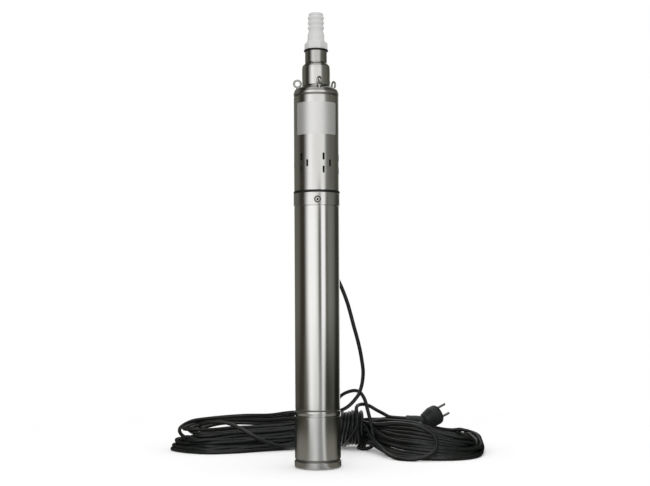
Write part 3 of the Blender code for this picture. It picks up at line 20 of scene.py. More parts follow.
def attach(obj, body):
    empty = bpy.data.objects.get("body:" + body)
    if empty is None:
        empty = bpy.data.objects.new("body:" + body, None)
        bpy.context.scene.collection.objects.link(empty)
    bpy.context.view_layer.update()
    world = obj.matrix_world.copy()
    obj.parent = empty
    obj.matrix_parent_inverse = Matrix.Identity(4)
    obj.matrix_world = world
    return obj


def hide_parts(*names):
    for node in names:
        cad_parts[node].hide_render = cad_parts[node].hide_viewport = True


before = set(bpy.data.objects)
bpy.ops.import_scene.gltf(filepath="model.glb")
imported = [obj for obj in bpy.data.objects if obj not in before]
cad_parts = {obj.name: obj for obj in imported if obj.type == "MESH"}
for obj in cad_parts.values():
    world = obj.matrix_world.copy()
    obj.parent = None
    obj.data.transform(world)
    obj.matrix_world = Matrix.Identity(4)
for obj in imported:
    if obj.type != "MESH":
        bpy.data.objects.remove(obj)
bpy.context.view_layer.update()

LOG = logging.getLogger("borehole_pump")
MM = 0.001
SEAT = 0.0003  # what the solids leave free where one sits on another
SHARP_EDGE = radians(38)
BODY = "pump"  # every piece made here rides on it
Profile = list[tuple[float, float, float]]  # radius, height and corner radius of each point
Route = tuple[tuple[float, float, float], ...]


# ------------ finishes


def linear(code: str) -> tuple[float, float, float, float]:
    """Turns an sRGB hex colour into the linear colour that a shader takes.

    Args:
        code: Six hex digits.

    Returns:
        The linear red, green, blue and an alpha of one.
    """
    values = [int(code[i:i + 2], 16) / 255 for i in (0, 2, 4)]
    curve = [v / 12.92 if v <= 0.04045 else ((v + 0.055) / 1.055) ** 2.4 for v in values]
    return (*curve, 1.0)


def add_node(tree: NodeTree, kind: str, settings: dict | None = None,
             links: dict | None = None) -> Node:
    """Adds one shader node.

    Args:
        tree: The node tree that it goes into.
        kind: The node's type, less the word that every shader node's type starts with.
        settings: Values for its sockets, by name or number, or for its properties, by name.
        links: The output socket that feeds each input, by name or number.

    Returns:
        The new node.
    """
    made = tree.nodes.new("ShaderNode" + kind)
    for key, value in (settings or {}).items():
        if isinstance(key, int) or key in made.inputs:
            made.inputs[key].default_value = value
        else:
            setattr(made, key, value)
    for key, socket in (links or {}).items():
        tree.links.new(socket, made.inputs[key])
    return made


class Grain(Enum):
    """The direction that a surface's fine marks run in."""

    ROUND = (0.06, 0.06, 1.0)
    ALONG = (1.0, 1.0, 0.05)
    NONE = (1.0, 1.0, 1.0)


@dataclass(frozen=True)
class Finish:
    """One material: a colour that varies a little, a gloss that varies, and a fine relief."""

    name: str
    slot: str
    colour: str
    worn: str
    roughness: float
    roughness_spread: float = 0.05
    metallic: float = 0.0
    specular: float = 0.5
    grain: Grain = Grain.NONE
    mark_mm: float = 1.0
    relief_mm: float = 0.01
    cloud_mm: float = 30.0
    coat: float = 0.0
    brushed: float = 0.0

    def make(self) -> Material:
        """Builds the material, or returns the one that was built before.

        Returns:
            The Blender material.
        """
        known = bpy.data.materials.get(self.name)
        if known:
            return known
        material = bpy.data.materials.new(self.name)
        material.use_nodes = True
        tree = material.node_tree
        shader = tree.nodes["Principled BSDF"]
        for socket, value in (("Metallic", self.metallic), ("Specular IOR Level", self.specular),
                              ("Coat Weight", self.coat), ("Anisotropic", self.brushed),
                              ("Anisotropic Rotation", 0.25)):
            shader.inputs[socket].default_value = value
        if self.brushed:
            rings = add_node(tree, "Tangent", {"direction_type": "RADIAL", "axis": "Z"})
            tree.links.new(rings.outputs["Tangent"], shader.inputs["Tangent"])
        place = add_node(tree, "TexCoord").outputs["Object"]
        stretched = add_node(tree, "Mapping", {"Scale": self.grain.value},
                             {"Vector": place}).outputs["Vector"]
        marks, clouds = (
            add_node(tree, "TexNoise",
                     {"Scale": 1 / (size * MM), "Detail": detail, "Roughness": rough},
                     {"Vector": stretched}).outputs["Fac"]
            for size, detail, rough in ((self.mark_mm, 3.0, 0.6), (self.cloud_mm, 4.0, 0.55)))
        tone = add_node(tree, "Mix", {"data_type": "RGBA", 6: linear(self.colour),
                                      7: linear(self.worn)}, {0: clouds})
        gloss = add_node(tree, "MapRange",
                         {"From Min": 0.3, "From Max": 0.7,
                          "To Min": self.roughness - self.roughness_spread,
                          "To Max": self.roughness + self.roughness_spread}, {"Value": marks})
        bump = add_node(tree, "Bump",
                        {"Strength": 1.0, "Distance": self.relief_mm * MM}, {"Height": marks})
        for output, socket in ((tone.outputs[2], "Base Color"), (gloss.outputs[0], "Roughness"),
                               (bump.outputs["Normal"], "Normal")):
            tree.links.new(output, shader.inputs[socket])
        return material


# Stainless tube, drawn and ring polished: bright, with marks too fine to see one by one
POLISHED = Finish("stainless_polished_tube", "polished_stainless", "D4D4D3", "CECECC", 0.15,
                  0.02, 1.0, grain=Grain.ROUND, mark_mm=1.2, relief_mm=0.0003, cloud_mm=40,
                  brushed=0.5)
# The same stainless, belt ground and less bright: the casing's and the head's softer sheen
GROUND_TUBE = Finish("stainless_belt_ground", "polished_stainless", "D0D0CF", "CACAC8", 0.17,
                     0.02, 1.0, grain=Grain.ROUND, mark_mm=1.0, relief_mm=0.0005, cloud_mm=30,
                     brushed=0.5)
# Stainless, turned and left satin: the same metal with a broader sheen and faint lathe marks
SATIN = Finish("stainless_turned_satin", "satin_stainless", "BEBEBC", "B6B6B3", 0.24, 0.03, 1.0,
               grain=Grain.ROUND, mark_mm=1.6, relief_mm=0.0002, cloud_mm=25, brushed=0.6)
# Steel in the bottom of slots, grooves and screw recesses: dark grey as painted shade, with a
# duller gloss
SHADED_RECESS = Finish("stainless_recess_painted_shade", "satin_stainless", "3A3A38", "2A2A28", 0.55, 0.08,
                  0.6, mark_mm=0.8, relief_mm=0.01)
# The same steel in grooves and recesses: a softer matt gloss, with a grey that is painted shade
GROOVE_SHADE_MATT = Finish("stainless_groove_matt_painted_shade", "satin_stainless", "8E8D89", "7E7D79", 0.45, 0.06, 1.0,
               mark_mm=0.8, relief_mm=0.006)
# Stainless casting, shot blasted: grey and grainy in every direction
CAST = Finish("stainless_cast_blasted", "cast_stainless", "ADA9A2", "9B978F", 0.45, 0.06, 1.0,
              mark_mm=0.7, relief_mm=0.02)
# Hardened steel, ground: cool, with fine rings
GROUND = Finish("steel_ground", "ground_steel", "C4C5C6", "B7B8B9", 0.22, 0.05, 1.0,
                grain=Grain.ROUND, mark_mm=0.4, relief_mm=0.002)
# Hard chrome, polished: nearly a mirror
CHROME = Finish("chrome_polished", "chromed_rotor", "D8D9DB", "CFD0D2", 0.08, 0.02, 1.0,
                mark_mm=0.5, relief_mm=0.001)
# Electrical steel, stacked sheets: dark with rings at each sheet's edge
LAMINATED = Finish("electrical_steel_stacked", "laminated_steel", "86878A", "6F7073", 0.5, 0.08,
                   1.0, grain=Grain.ROUND, mark_mm=0.5, relief_mm=0.02)
# Aluminium, die cast: pale and softly blurred
ALUMINIUM = Finish("aluminium_die_cast", "cast_aluminium", "CFD1D3", "BFC1C4", 0.4, 0.06, 1.0,
                   mark_mm=0.8, relief_mm=0.01)
# Copper wire, enamelled and varnished: brown red with a lacquer gloss
COPPER = Finish("copper_enamelled", "enamelled_copper", "B5683A", "8F4A24", 0.35, 0.08, 0.9,
                grain=Grain.ROUND, mark_mm=0.9, relief_mm=0.12, coat=0.3)
# Carbon, sintered and lapped: black with a dull metallic face
CARBON = Finish("carbon_lapped", "carbon_seal", "3A3A3B", "303031", 0.4, mark_mm=0.4)
# Nitrile rubber, moulded: black, soft gloss, a little dust
NITRILE = Finish("nitrile_rubber_moulded", "black_rubber", "0E0F0F", "161717", 0.55, 0.08,
                 specular=0.4, mark_mm=0.8, relief_mm=0.01)
# Stator rubber, moulded round the core pin: near black and smooth
STATOR_RUBBER = Finish("stator_rubber_moulded", "stator_rubber", "39393A", "2E2E2F", 0.5,
                       mark_mm=0.8, relief_mm=0.01)
# Polypropylene, injection moulded: white with a low even gloss
WHITE_POLYMER = Finish("polypropylene_moulded", "white_plastic", "D6D6D5", "CCCCCB", 0.42, 0.05,
                       specular=0.4, mark_mm=0.5, relief_mm=0.004, cloud_mm=18)
# Neoprene sheath, extruded: black grey, matt, scuffed pale where it was handled
NEOPRENE = Finish("neoprene_extruded_sheath", "cable_sheath", "040404", "242927", 0.36, 0.12,
                  specular=0.5, mark_mm=2.0, relief_mm=0.03, cloud_mm=14)
# Soft vinyl, moulded onto the cable: black with a fine leathery grain
VINYL = Finish("vinyl_moulded_plug", "plug_plastic", "1F2122", "2A2D2D", 0.48, 0.06,
               specular=0.45, mark_mm=0.6, relief_mm=0.02, cloud_mm=12)
# The same vinyl on the strain relief, rubbed paler by bending
VINYL_RUBBED = Finish("vinyl_moulded_rubbed", "plug_plastic", "363939", "454949", 0.5, 0.06,
                      specular=0.45, mark_mm=0.6, relief_mm=0.02, cloud_mm=12)
# Nickel plated brass, barrel plated: the plug's pins
NICKEL = Finish("nickel_plated_brass", "ground_steel", "D2D2D0", "C2C1BC", 0.3, 0.05, 1.0,
                mark_mm=0.5, relief_mm=0.002)
# Polyester foil, silver and matt: the bare rating label
FOIL = Finish("polyester_foil_matt", "satin_stainless", "D9D9D9", "D2D2D1", 0.42, 0.04, 0.72,
              mark_mm=0.6, relief_mm=0.002, cloud_mm=20)


# ------------ mesh tools


def rounded(profile: Profile, steps: int = 4) -> list[tuple[float, float]]:
    """Rounds the corners of a profile.

    Args:
        profile: Radius, height and corner radius of each point, in order.
        steps: Segments in each rounded corner.

    Returns:
        Radius and height of each point of the rounded outline.
    """
    outline = []
    closed = not (profile[0][0] == 0 and profile[-1][0] == 0)
    count = len(profile)
    for i, (r, z, size) in enumerate(profile):
        at_end = not closed and i in (0, count - 1)
        if size <= 0 or at_end:
            outline.append((r, z))
            continue
        here = Vector((r, z))
        before = Vector(profile[i - 1][:2]) - here
        after = Vector(profile[(i + 1) % count][:2]) - here
        half = before.angle(after) / 2
        most = 0.49 * min(before.length, after.length)
        reach = min(size / np.tan(half), most)
        start = here + before.normalized() * reach
        end = here + after.normalized() * reach
        for k in range(steps + 1):
            t = k / steps
            point = (1 - t) ** 2 * start + 2 * t * (1 - t) * here + t * t * end
            outline.append((point.x, point.y))
    return outline


def linked(name: str, data: bpy.types.ID) -> Object:
    """Makes an object of a mesh, a curve, a lamp or a camera, and links it to the scene."""
    obj = bpy.data.objects.new(name, data)
    bpy.context.scene.collection.objects.link(obj)
    return obj


def smoothed(obj: Object) -> Object:
    """Shades a piece smooth but for its hard edges, with flat faces kept flat.

    Args:
        obj: The piece.

    Returns:
        The same piece.
    """
    obj.data.shade_smooth()
    obj.data.set_sharp_from_angle(angle=SHARP_EDGE)
    obj.modifiers.new("even_normals", "WEIGHTED_NORMAL").keep_sharp = True
    return obj


def mesh_of(bm: bmesh.types.BMesh, name: str) -> Mesh:
    """Turns a bmesh into a mesh with its faces outwards.

    Args:
        bm: The bmesh, which is freed.
        name: The mesh's name.

    Returns:
        The mesh.
    """
    bmesh.ops.recalc_face_normals(bm, faces=bm.faces)
    mesh = bpy.data.meshes.new(name)
    bm.to_mesh(mesh)
    bm.free()
    return mesh


def quads(bm: bmesh.types.BMesh, rows: list[list]) -> list[bmesh.types.BMFace]:
    """Joins neighbouring rows of vertices with four sided faces."""
    return [bm.faces.new((low[i], high[i], high[i + 1], low[i + 1]))
            for low, high in zip(rows, rows[1:]) for i in range(len(low) - 1)]


def revolved_mesh(name: str, outline: list[tuple[float, float]], sides: int) -> Mesh:
    """Revolves an outline about Z.

    Args:
        name: The mesh's name.
        outline: Radius and height of each point; it is closed, or starts and ends on the axis.
        sides: Facets round a full turn.

    Returns:
        The closed mesh.
    """
    bm = bmesh.new()
    rings = []
    for r, z in outline:
        if r <= 0:
            rings.append([bm.verts.new((0, 0, z))] * sides)
            continue
        rings.append([bm.verts.new((r * cos(2 * pi * i / sides), r * sin(2 * pi * i / sides), z))
                      for i in range(sides)])
    pairs = list(zip(rings, rings[1:]))
    if outline[0][0] > 0:
        pairs.append((rings[-1], rings[0]))
    for low, high in pairs:
        for i in range(sides):
            j = (i + 1) % sides
            corners = list(dict.fromkeys((low[i], low[j], high[j], high[i])))
            if len(corners) > 2:
                bm.faces.new(corners)
    return mesh_of(bm, name)


def turned(name: str, profile: Profile, sides: int = 96, place: Matrix | None = None) -> Object:
    """A turned piece with rounded corners.

    Args:
        name: The piece's name.
        profile: Radius, height and corner radius of each point.
        sides: Facets round a full turn.
        place: Where its own axis and zero height go.

    Returns:
        The object.
    """
    mesh = revolved_mesh(name, rounded(profile), sides)
    if place:
        mesh.transform(place)
    return smoothed(linked(name, mesh))


def tube(outer: float, wall: float, low: float, high: float, edge: float) -> Profile:
    """A tube's profile with its outer edges rounded."""
    return [(outer - wall, high, 0), (outer, high, edge), (outer, low, edge),
            (outer - wall, low, 0)]


def cutter(radius: float, low: float, high: float, place: Matrix, sides: int) -> Mesh:
    """A plain round cutter's mesh.

    Args:
        radius: Its radius.
        low: Its lower end along its axis.
        high: Its upper end.
        place: Where its axis and zero height go.
        sides: Facets round a full turn.

    Returns:
        The mesh.
    """
    mesh = revolved_mesh("cutter", [(0, high), (radius, high), (radius, low), (0, low)], sides)
    mesh.transform(place)
    return mesh


def ring_mesh(radius: float, wire: float, centre: Vector, turn: float) -> Mesh:
    """An upright ring of round wire.

    Args:
        radius: From its centre to the middle of the wire.
        wire: The wire's radius.
        centre: Its centre.
        turn: How far it is turned about Z from facing the front.

    Returns:
        The mesh.
    """
    bm = bmesh.new()
    place = Matrix.Translation(centre) @ Matrix.Rotation(turn, 4, "Z")
    around_ring, around_wire = 40, 14
    rows = []
    for i in range(around_ring):
        a = 2 * pi * i / around_ring
        row = []
        for j in range(around_wire):
            b = 2 * pi * j / around_wire
            reach = radius + wire * cos(b)
            row.append(bm.verts.new(place @ Vector((reach * cos(a), wire * sin(b),
                                                    reach * sin(a)))))
        rows.append([*row, row[0]])
    quads(bm, [*rows, rows[0]])
    return mesh_of(bm, "ring")


def swept(name: str, line: list, radii: list[float]) -> Object:
    """A round body along a line, with its own radius at each point.

    Args:
        name: The object's name.
        line: The points.
        radii: The radius at each point.

    Returns:
        The curve object.
    """
    curve = bpy.data.curves.new(name, "CURVE")
    curve.dimensions = "3D"
    curve.bevel_depth = max(radii)
    curve.bevel_resolution = 3
    curve.use_fill_caps = True
    spline = curve.splines.new("POLY")
    spline.points.add(len(line) - 1)
    for point, place, radius in zip(spline.points, line, radii):
        point.co = (*place, 1)
        point.radius = radius / curve.bevel_depth
    return linked(name, curve)


def combined(obj: Object, tools: list[Mesh], operation: str) -> Object:
    """Cuts meshes out of an object or adds them to it, and keeps the result as its mesh.

    Args:
        obj: The object.
        tools: The meshes to cut or add, one after the other.
        operation: DIFFERENCE or UNION.

    Returns:
        The same object.
    """
    obj.modifiers.clear()
    helpers = [linked("helper", mesh) for mesh in tools]
    for helper in helpers:
        step = obj.modifiers.new("cut", "BOOLEAN")
        step.operation = operation
        step.object = helper
    bpy.context.view_layer.update()
    graph = bpy.context.evaluated_depsgraph_get()
    result = bpy.data.meshes.new_from_object(obj.evaluated_get(graph))
    obj.modifiers.clear()
    old, obj.data = obj.data, result
    bpy.data.meshes.remove(old)
    for helper in helpers:
        bpy.data.objects.remove(helper)
    return smoothed(obj)


def between(low: float, high: float, near: float, far: float) -> Callable[[Vector], bool]:
    """A test of whether a point lies between two heights and two distances from the axis."""
    return lambda point: low < point.z < high and near < point.xy.length < far


def shade_where(obj: Object, inside: Callable[[Vector], bool],
               finish: Finish = SHADED_RECESS) -> None:
    """Gives the faces in a piece's cuts and grooves a darker finish that stands for the shade in
    them: painted shade, with a duller gloss.

    Args:
        obj: The piece, which has its own finish already.
        inside: Says of a face's middle whether it lies in a cut.
        finish: The finish of the cuts, darker as painted shade.
    """
    obj.data.materials.append(finish.make())
    last = len(obj.data.materials) - 1
    for face in obj.data.polygons:
        if inside(face.center):
            face.material_index = last


def facing(direction: Vector, at: Vector) -> Matrix:
    """The matrix that lays a piece's own Z along a direction, with its zero at a point."""
    return Matrix.Translation(at) @ direction.to_track_quat("Z", "Y").to_matrix().to_4x4()


def around(azimuth: float, radius: float, height: float) -> Vector:
    """A point at an azimuth counted from the front towards the right hand side."""
    return Vector((radius * sin(azimuth), -radius * cos(azimuth), height))


def place_piece(obj: Object, finish: Finish, *nodes: str) -> Object:
    """Gives a piece its finish, the body it rides on and the CAD nodes it stands for.

    Args:
        obj: The piece.
        finish: Its finish.
        *nodes: The CAD nodes that it replaces.

    Returns:
        The same object.
    """
    obj.data.materials.clear()
    obj.data.materials.append(finish.make())
    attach(obj, BODY)
    if nodes:
        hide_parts(*nodes)
    LOG.info("piece %s on %s in %s", obj.name, BODY, finish.name)
    return obj


# ------------ camera, floor and light


def empty_tree(owner: Material | bpy.types.World) -> NodeTree:
    """Switches on a material's or a world's nodes and takes out those it comes with."""
    owner.use_nodes = True
    owner.node_tree.nodes.clear()
    return owner.node_tree


class Card(Enum):
    """The tones of the glowing cards round the set, which are seen only as painted reflections."""

    WHITE = "F6F5F5"
    PEARL = "DEDDDC"
    BACK = "D4D4D2"
    PALE = "C6C6C5"
    GREY = "8A8A8B"
    MAT = "76746C"
    STONE = "6E706A"
    WALL = "5E5E57"
    SHADE = "47463F"
    FLAG = "34312A"
    MOSS = "31342D"
    BLACK = "191B16"


# For each card, going round from behind the left: where it starts, in degrees from the front
# towards the right, how soft that edge is, and the card
Cards = tuple[tuple[float, float, Card], ...]


@dataclass
class Studio:
    """White floor, soft lamps and the camera at the photograph's place."""

    distance: float = 1.85
    eye_height: float = 0.289
    focal_px: float = 1069.0
    frame_width_px: float = 650.0
    axis_offset_px: float = 7.8
    horizon_offset_px: float = 57.0
    roll: float = radians(0.275)
    floor_size: float = 3.0
    floor_fade: tuple[float, float] = (0.45, 1.1)
    floor_lift: float = 0.14
    paper: str = "F6F6F6"
    white: str = "FFFFFF"
    room_level: float = 0.72
    lamps: tuple[tuple[str, float, tuple[float, float], tuple[float, float, float]], ...] = (
        ("front_box", 22.0, (1.6, 2.0), (-0.5, -2.6, 1.5)),
        ("top_box", 14.0, (2.0, 2.0), (0.2, 0.3, 2.8)))
    lamps_aim: tuple[float, float, float] = (0, 0, 0.38)
    tent_radius: float = 0.5
    tent_sides: int = 240
    tent_strength: float = 1.5
    casing_cards: Cards = (
        (-164, 5, Card.WALL), (-95, 14, Card.FLAG), (-49, 20, Card.WHITE), (-21, 18, Card.PEARL),
        (43, 10, Card.STONE), (63, 9, Card.WALL), (100, 24, Card.SHADE), (147, 11, Card.BACK))
    motor_cards: Cards = (
        (-164, 5, Card.WALL), (-95, 15, Card.FLAG), (-52, 16, Card.WHITE), (-2, 12, Card.PALE),
        (7, 5, Card.WALL), (21, 4, Card.WHITE), (41, 5, Card.WALL), (56, 5, Card.STONE),
        (84, 10, Card.WALL), (100, 9, Card.MOSS), (147, 11, Card.BACK))
    low_cards: Cards = (
        (-164, 5, Card.SHADE), (-107, 12, Card.FLAG), (-62, 18, Card.MAT), (-42, 14, Card.WHITE),
        (-21, 18, Card.BACK), (6, 6, Card.GREY), (22, 4, Card.BACK), (36, 8, Card.MOSS),
        (69, 14, Card.SHADE), (93, 9, Card.BLACK), (148, 15, Card.BACK))
    shell_cards: Cards = (
        (-164, 4, Card.BLACK), (-92, 20, Card.FLAG), (-41, 11, Card.PALE), (-3, 14, Card.GREY),
        (21, 4, Card.PALE), (33, 7, Card.MOSS), (81, 14, Card.BLACK), (164, 4, Card.BACK))
    mat_cards: Cards = (
        (-165, 5, Card.SHADE), (-115, 24, Card.MAT), (-31, 24, Card.PALE), (0, 12, Card.GREY),
        (25, 7, Card.PALE), (36, 7, Card.MAT), (97, 22, Card.FLAG), (164, 4, Card.BACK))
    lid_cards: Cards = ((-169, 1, Card.PEARL), (169, 1, Card.BACK))

    def camera(self) -> None:
        """Places the camera level in front of the pump."""
        data = bpy.data.cameras.new("photo_view")
        data.sensor_width = 36.0
        data.lens = data.sensor_width * self.focal_px / self.frame_width_px
        data.shift_x = self.axis_offset_px / self.frame_width_px
        data.shift_y = self.horizon_offset_px / self.frame_width_px
        camera = linked("photo_view", data)
        camera.location = (0, -self.distance, self.eye_height)
        camera.rotation_euler = (pi / 2, self.roll, 0)
        bpy.context.scene.camera = camera

    def floor(self) -> None:
        """A pale floor that keeps the shadow near the pump and runs out into white."""
        bm = bmesh.new()
        bmesh.ops.create_grid(bm, x_segments=1, y_segments=1, size=self.floor_size)
        plane = linked("floor", mesh_of(bm, "floor"))
        material = bpy.data.materials.new("paper_floor")
        tree = empty_tree(material)
        paper = add_node(tree, "BsdfDiffuse", {"Color": linear(self.paper)})
        seen = add_node(tree, "LightPath").outputs["Is Camera Ray"]
        strength = add_node(tree, "Math", {"operation": "MULTIPLY", 1: self.floor_lift},
                            {0: seen}).outputs["Value"]
        lift = add_node(tree, "Emission", {"Color": linear(self.white)},
                        {"Strength": strength})
        both = add_node(tree, "AddShader", {},
                        {0: paper.outputs["BSDF"], 1: lift.outputs["Emission"]})
        place = add_node(tree, "TexCoord").outputs["Object"]
        away = add_node(tree, "VectorMath", {"operation": "LENGTH"},
                        {0: place}).outputs["Value"]
        start, end = self.floor_fade
        fade = add_node(tree, "MapRange",
                        {"interpolation_type": "SMOOTHSTEP", "From Min": start, "From Max": end},
                        {"Value": away}).outputs["Result"]
        clear = add_node(tree, "BsdfTransparent")
        mixed = add_node(tree, "MixShader", {},
                         {0: fade, 1: both.outputs["Shader"], 2: clear.outputs["BSDF"]})
        add_node(tree, "OutputMaterial", {}, {"Surface": mixed.outputs["Shader"]})
        plane.data.materials.append(material)

    def world(self) -> None:
        """White surroundings: full white behind the object, a plain level for the rest."""
        world = bpy.data.worlds.new("white_room")
        bpy.context.scene.world = world
        tree = empty_tree(world)
        path = add_node(tree, "LightPath").outputs
        shown = path["Is Camera Ray"]
        for ray in ("Is Glossy Ray", "Is Transmission Ray"):
            shown = add_node(tree, "Math", {"operation": "MAXIMUM"},
                             {0: shown, 1: path[ray]}).outputs["Value"]
        level = add_node(tree, "MapRange", {"To Min": self.room_level, "To Max": 1.0},
                         {"Value": shown})
        light = add_node(tree, "Background", {"Color": linear(self.white)},
                         {"Strength": level.outputs["Result"]})
        add_node(tree, "OutputWorld", {}, {"Surface": light.outputs["Background"]})

    def lamp(self, name: str, watts: float, size: tuple[float, float], at: Vector) -> None:
        """One rectangular soft lamp that faces the pump's middle.

        Args:
            name: The lamp's name.
            watts: Its power.
            size: Its width and height.
            at: Where it stands.
        """
        data = bpy.data.lights.new(name, "AREA")
        data.shape = "RECTANGLE"
        data.size, data.size_y = size
        data.energy = watts
        lamp = linked(name, data)
        lamp.location = at
        lamp.rotation_euler = (Vector(self.lamps_aim) - at).to_track_quat("-Z", "Y").to_euler()
        lamp.visible_glossy = False

    def tone(self, cards: Cards, azimuth: float, gain: float) -> tuple[float, ...]:
        """The tent's tone in one direction.

        Args:
            cards: The cards round the tent at this height.
            azimuth: Degrees from the front towards the right.
            gain: How strongly they glow at this height.

        Returns:
            The linear colour.
        """
        colour = Vector(linear(Card.BACK.value))
        for edge, soft, card in cards:
            share = min(1.0, max(0.0, (azimuth - edge + soft) / (2 * soft)))
            colour = colour.lerp(Vector(linear(card.value)), share * share * (3 - 2 * share))
        return tuple(colour * gain)

    def tent(self) -> None:
        """The tent of glowing cards round the set, which only shows as tones in the polished
        steel: painted reflections.
        """
        wall = self.tent_radius
        # The gain darkens the floor card next to the foot, a painted shadow in the reflections,
        # and dims the walls above one metre
        rows = (
            (0.0425, 0.0004, self.mat_cards, 0.8), (0.1, 0.0004, self.mat_cards, 1.0),
            (wall - 0.0005, 0.0004, self.mat_cards, 1.0), (wall, 0.0006, self.shell_cards, 1.0),
            (wall, 0.046, self.shell_cards, 1.0), (wall, 0.056, self.low_cards, 1.0),
            (wall, 0.11, self.low_cards, 1.0), (wall, 0.27, self.motor_cards, 1.0),
            (wall, 0.512, self.motor_cards, 1.0), (wall, 0.522, self.casing_cards, 1.0),
            (wall, 0.9, self.casing_cards, 1.0), (wall, 1.0, self.casing_cards, 0.4),
            (wall, 1.7, self.casing_cards, 0.3), (0.3, 1.7, self.lid_cards, 1.0),
            (0.01, 1.7, self.lid_cards, 1.0),
        )
        bm = bmesh.new()
        layer = bm.loops.layers.float_color.new("tone")
        tones = {}
        grid = []
        for i in range(self.tent_sides + 1):
            azimuth = -180 + 360 * i / self.tent_sides
            column = []
            for radius, height, cards, gain in rows:
                vert = bm.verts.new(around(radians(azimuth), radius, height))
                tones[vert] = self.tone(cards, azimuth, gain)
                column.append(vert)
            grid.append(column)
        for face in quads(bm, grid):
            for loop in face.loops:
                loop[layer] = tones[loop.vert]
        mesh = bpy.data.meshes.new("tent")
        bm.to_mesh(mesh)
        bm.free()
        tent = linked("tent", mesh)
        material = bpy.data.materials.new("tent_cards")
        tree = empty_tree(material)
        tone = add_node(tree, "VertexColor", {"layer_name": "tone"})
        light = add_node(tree, "Emission", {"Strength": self.tent_strength},
                         {"Color": tone.outputs["Color"]})
        add_node(tree, "OutputMaterial", {}, {"Surface": light.outputs["Emission"]})
        mesh.materials.append(material)
        for ray in ("camera", "diffuse", "shadow", "transmission"):
            setattr(tent, "visible_" + ray, False)

    def build(self) -> None:
        """Sets up the whole studio."""
        bpy.context.scene.view_settings.view_transform = "Standard"
        self.camera()
        self.floor()
        self.world()
        for name, watts, size, at in self.lamps:
            self.lamp(name, watts, size, Vector(at))
        self.tent()


# ------------ supply cable


def distances(line: np.ndarray) -> np.ndarray:
    """How far along a line each of its points lies."""
    return np.concatenate([[0], np.cumsum(np.linalg.norm(np.diff(line, axis=0), axis=1))])


def length_of(points: list[Vector]) -> float:
    """The length of a line of points."""
    return sum((b - a).length for a, b in zip(points, points[1:]))


def vectors(route: Route) -> list[Vector]:
    """The points of a route as vectors."""
    return [Vector(p) for p in route]


def spline_through(points: list[Vector], step: float) -> list[Vector]:
    """Evenly spaced points on a smooth curve through given points.

    Args:
        points: The points that the curve passes through.
        step: The spacing wanted.

    Returns:
        The spaced points.
    """
    padded = [2 * points[0] - points[1]] + points + [2 * points[-1] - points[-2]]
    fine = []
    for a, b, c, d in zip(padded, padded[1:], padded[2:], padded[3:]):
        for i in range(16):
            t = i / 16
            fine.append(0.5 * (2 * b + (c - a) * t + (2 * a - 5 * b + 4 * c - d) * t**2
                               + (3 * b - a - 3 * c + d) * t**3))
    fine.append(points[-1])
    line = np.array([tuple(p) for p in fine])
    along = distances(line)
    at = np.linspace(0, along[-1], max(2, ceil(along[-1] / step) + 1))
    return [Vector(p) for p in np.stack([np.interp(at, along, line[:, k]) for k in range(3)], 1)]


LEFT_HINGE = -0.188  # where the loops of the left end begin to stop short of the outermost one
LEFT_END = -0.285
UPPER_LOOPS = 9  # from this strand up, the left end's loops stand clear of those below


@dataclass(frozen=True)
class Station:
    """One place along the hank's outline, and how its strands are spread there by height."""

    x: float
    y: float
    top: float
    inwards: float = 0.0
    slope: float = 0.0
    stagger: float = 0.0
    nest: float = 0.0
    gap: float = 0.0
    low: float = 0.0037

    def point(self, rank: int, highest: int, rng: Random, tip: float = 0.0) -> Vector:
        """The place where a strand passes.

        Args:
            rank: The strand's place in height, where 0 lies lowest.
            highest: The topmost strand's place.
            rng: The seeded source of the irregularities.
            tip: Where the strand's loop ends, if it ends short of the outermost one.

        Returns:
            The point.
        """
        share = rank / highest
        pile = share ** 1.15
        x = self.x + self.inwards * share - self.nest * (rank % 4)
        if tip and x < LEFT_HINGE:
            x = LEFT_HINGE + (x - LEFT_HINGE) * (tip - LEFT_HINGE) / (LEFT_END - LEFT_HINGE)
        lift = self.gap if rank >= UPPER_LOOPS else 0.0
        height = self.low + (self.top - self.low - self.gap) * pile + lift
        return Vector((
            x + rng.uniform(-0.002, 0.002),
            self.y + self.slope * share + self.stagger * (rank % 3 - 1)
            + rng.uniform(-0.004, 0.004),
            height + rng.uniform(-0.001, 0.002),
        ))


LEFT_FAR = (
    Station(0.012, 0.246, 0.069, stagger=0.007, low=0.013),
    Station(-0.03, 0.25, 0.07, stagger=0.007, low=0.009),
    Station(-0.062, 0.258, 0.07, stagger=0.008), Station(-0.092, 0.27, 0.062, stagger=0.008),
    Station(-0.135, 0.28, 0.0615, stagger=0.008, gap=0.004),
    Station(-0.188, 0.282, 0.06, stagger=0.008, gap=0.012),
    Station(-0.226, 0.272, 0.057, stagger=0.006, gap=0.014),
    Station(-0.256, 0.252, 0.052, stagger=0.003, gap=0.014),
)
LEFT_NEAR = (
    Station(-0.264, 0.19, 0.043, slope=0.008), Station(-0.24, 0.168, 0.042, slope=0.026),
    Station(-0.205, 0.156, 0.041, slope=0.052), Station(-0.165, 0.165, 0.043, slope=0.06),
    Station(-0.12, 0.184, 0.043, slope=0.052),
    Station(-0.07, 0.208, 0.045, slope=0.038, low=0.0065),
    Station(-0.03, 0.219, 0.052, slope=0.026, low=0.011),
    Station(0.012, 0.222, 0.056, slope=0.018, low=0.015),
)
RIGHT_NEAR = (
    Station(0.112, 0.168, 0.056, slope=0.04, low=0.015),
    Station(0.145, 0.096, 0.0585, slope=0.086), Station(0.182, 0.066, 0.059, slope=0.094),
    Station(0.226, 0.059, 0.045, slope=0.088), Station(0.27, 0.075, 0.031, slope=0.06),
    Station(0.302, 0.122, 0.028, -0.008, 0.03, nest=0.004),
)
RIGHT_FAR = (
    Station(0.303, 0.236, 0.03, nest=0.007),
    Station(0.272, 0.276, 0.028, 0.0, -0.02, 0.007),
    Station(0.226, 0.298, 0.038, -0.006, -0.026, 0.009),
    Station(0.165, 0.296, 0.053, 0.0, -0.02, 0.008),
    Station(0.122, 0.27, 0.057, 0.0, -0.01, 0.006),
)
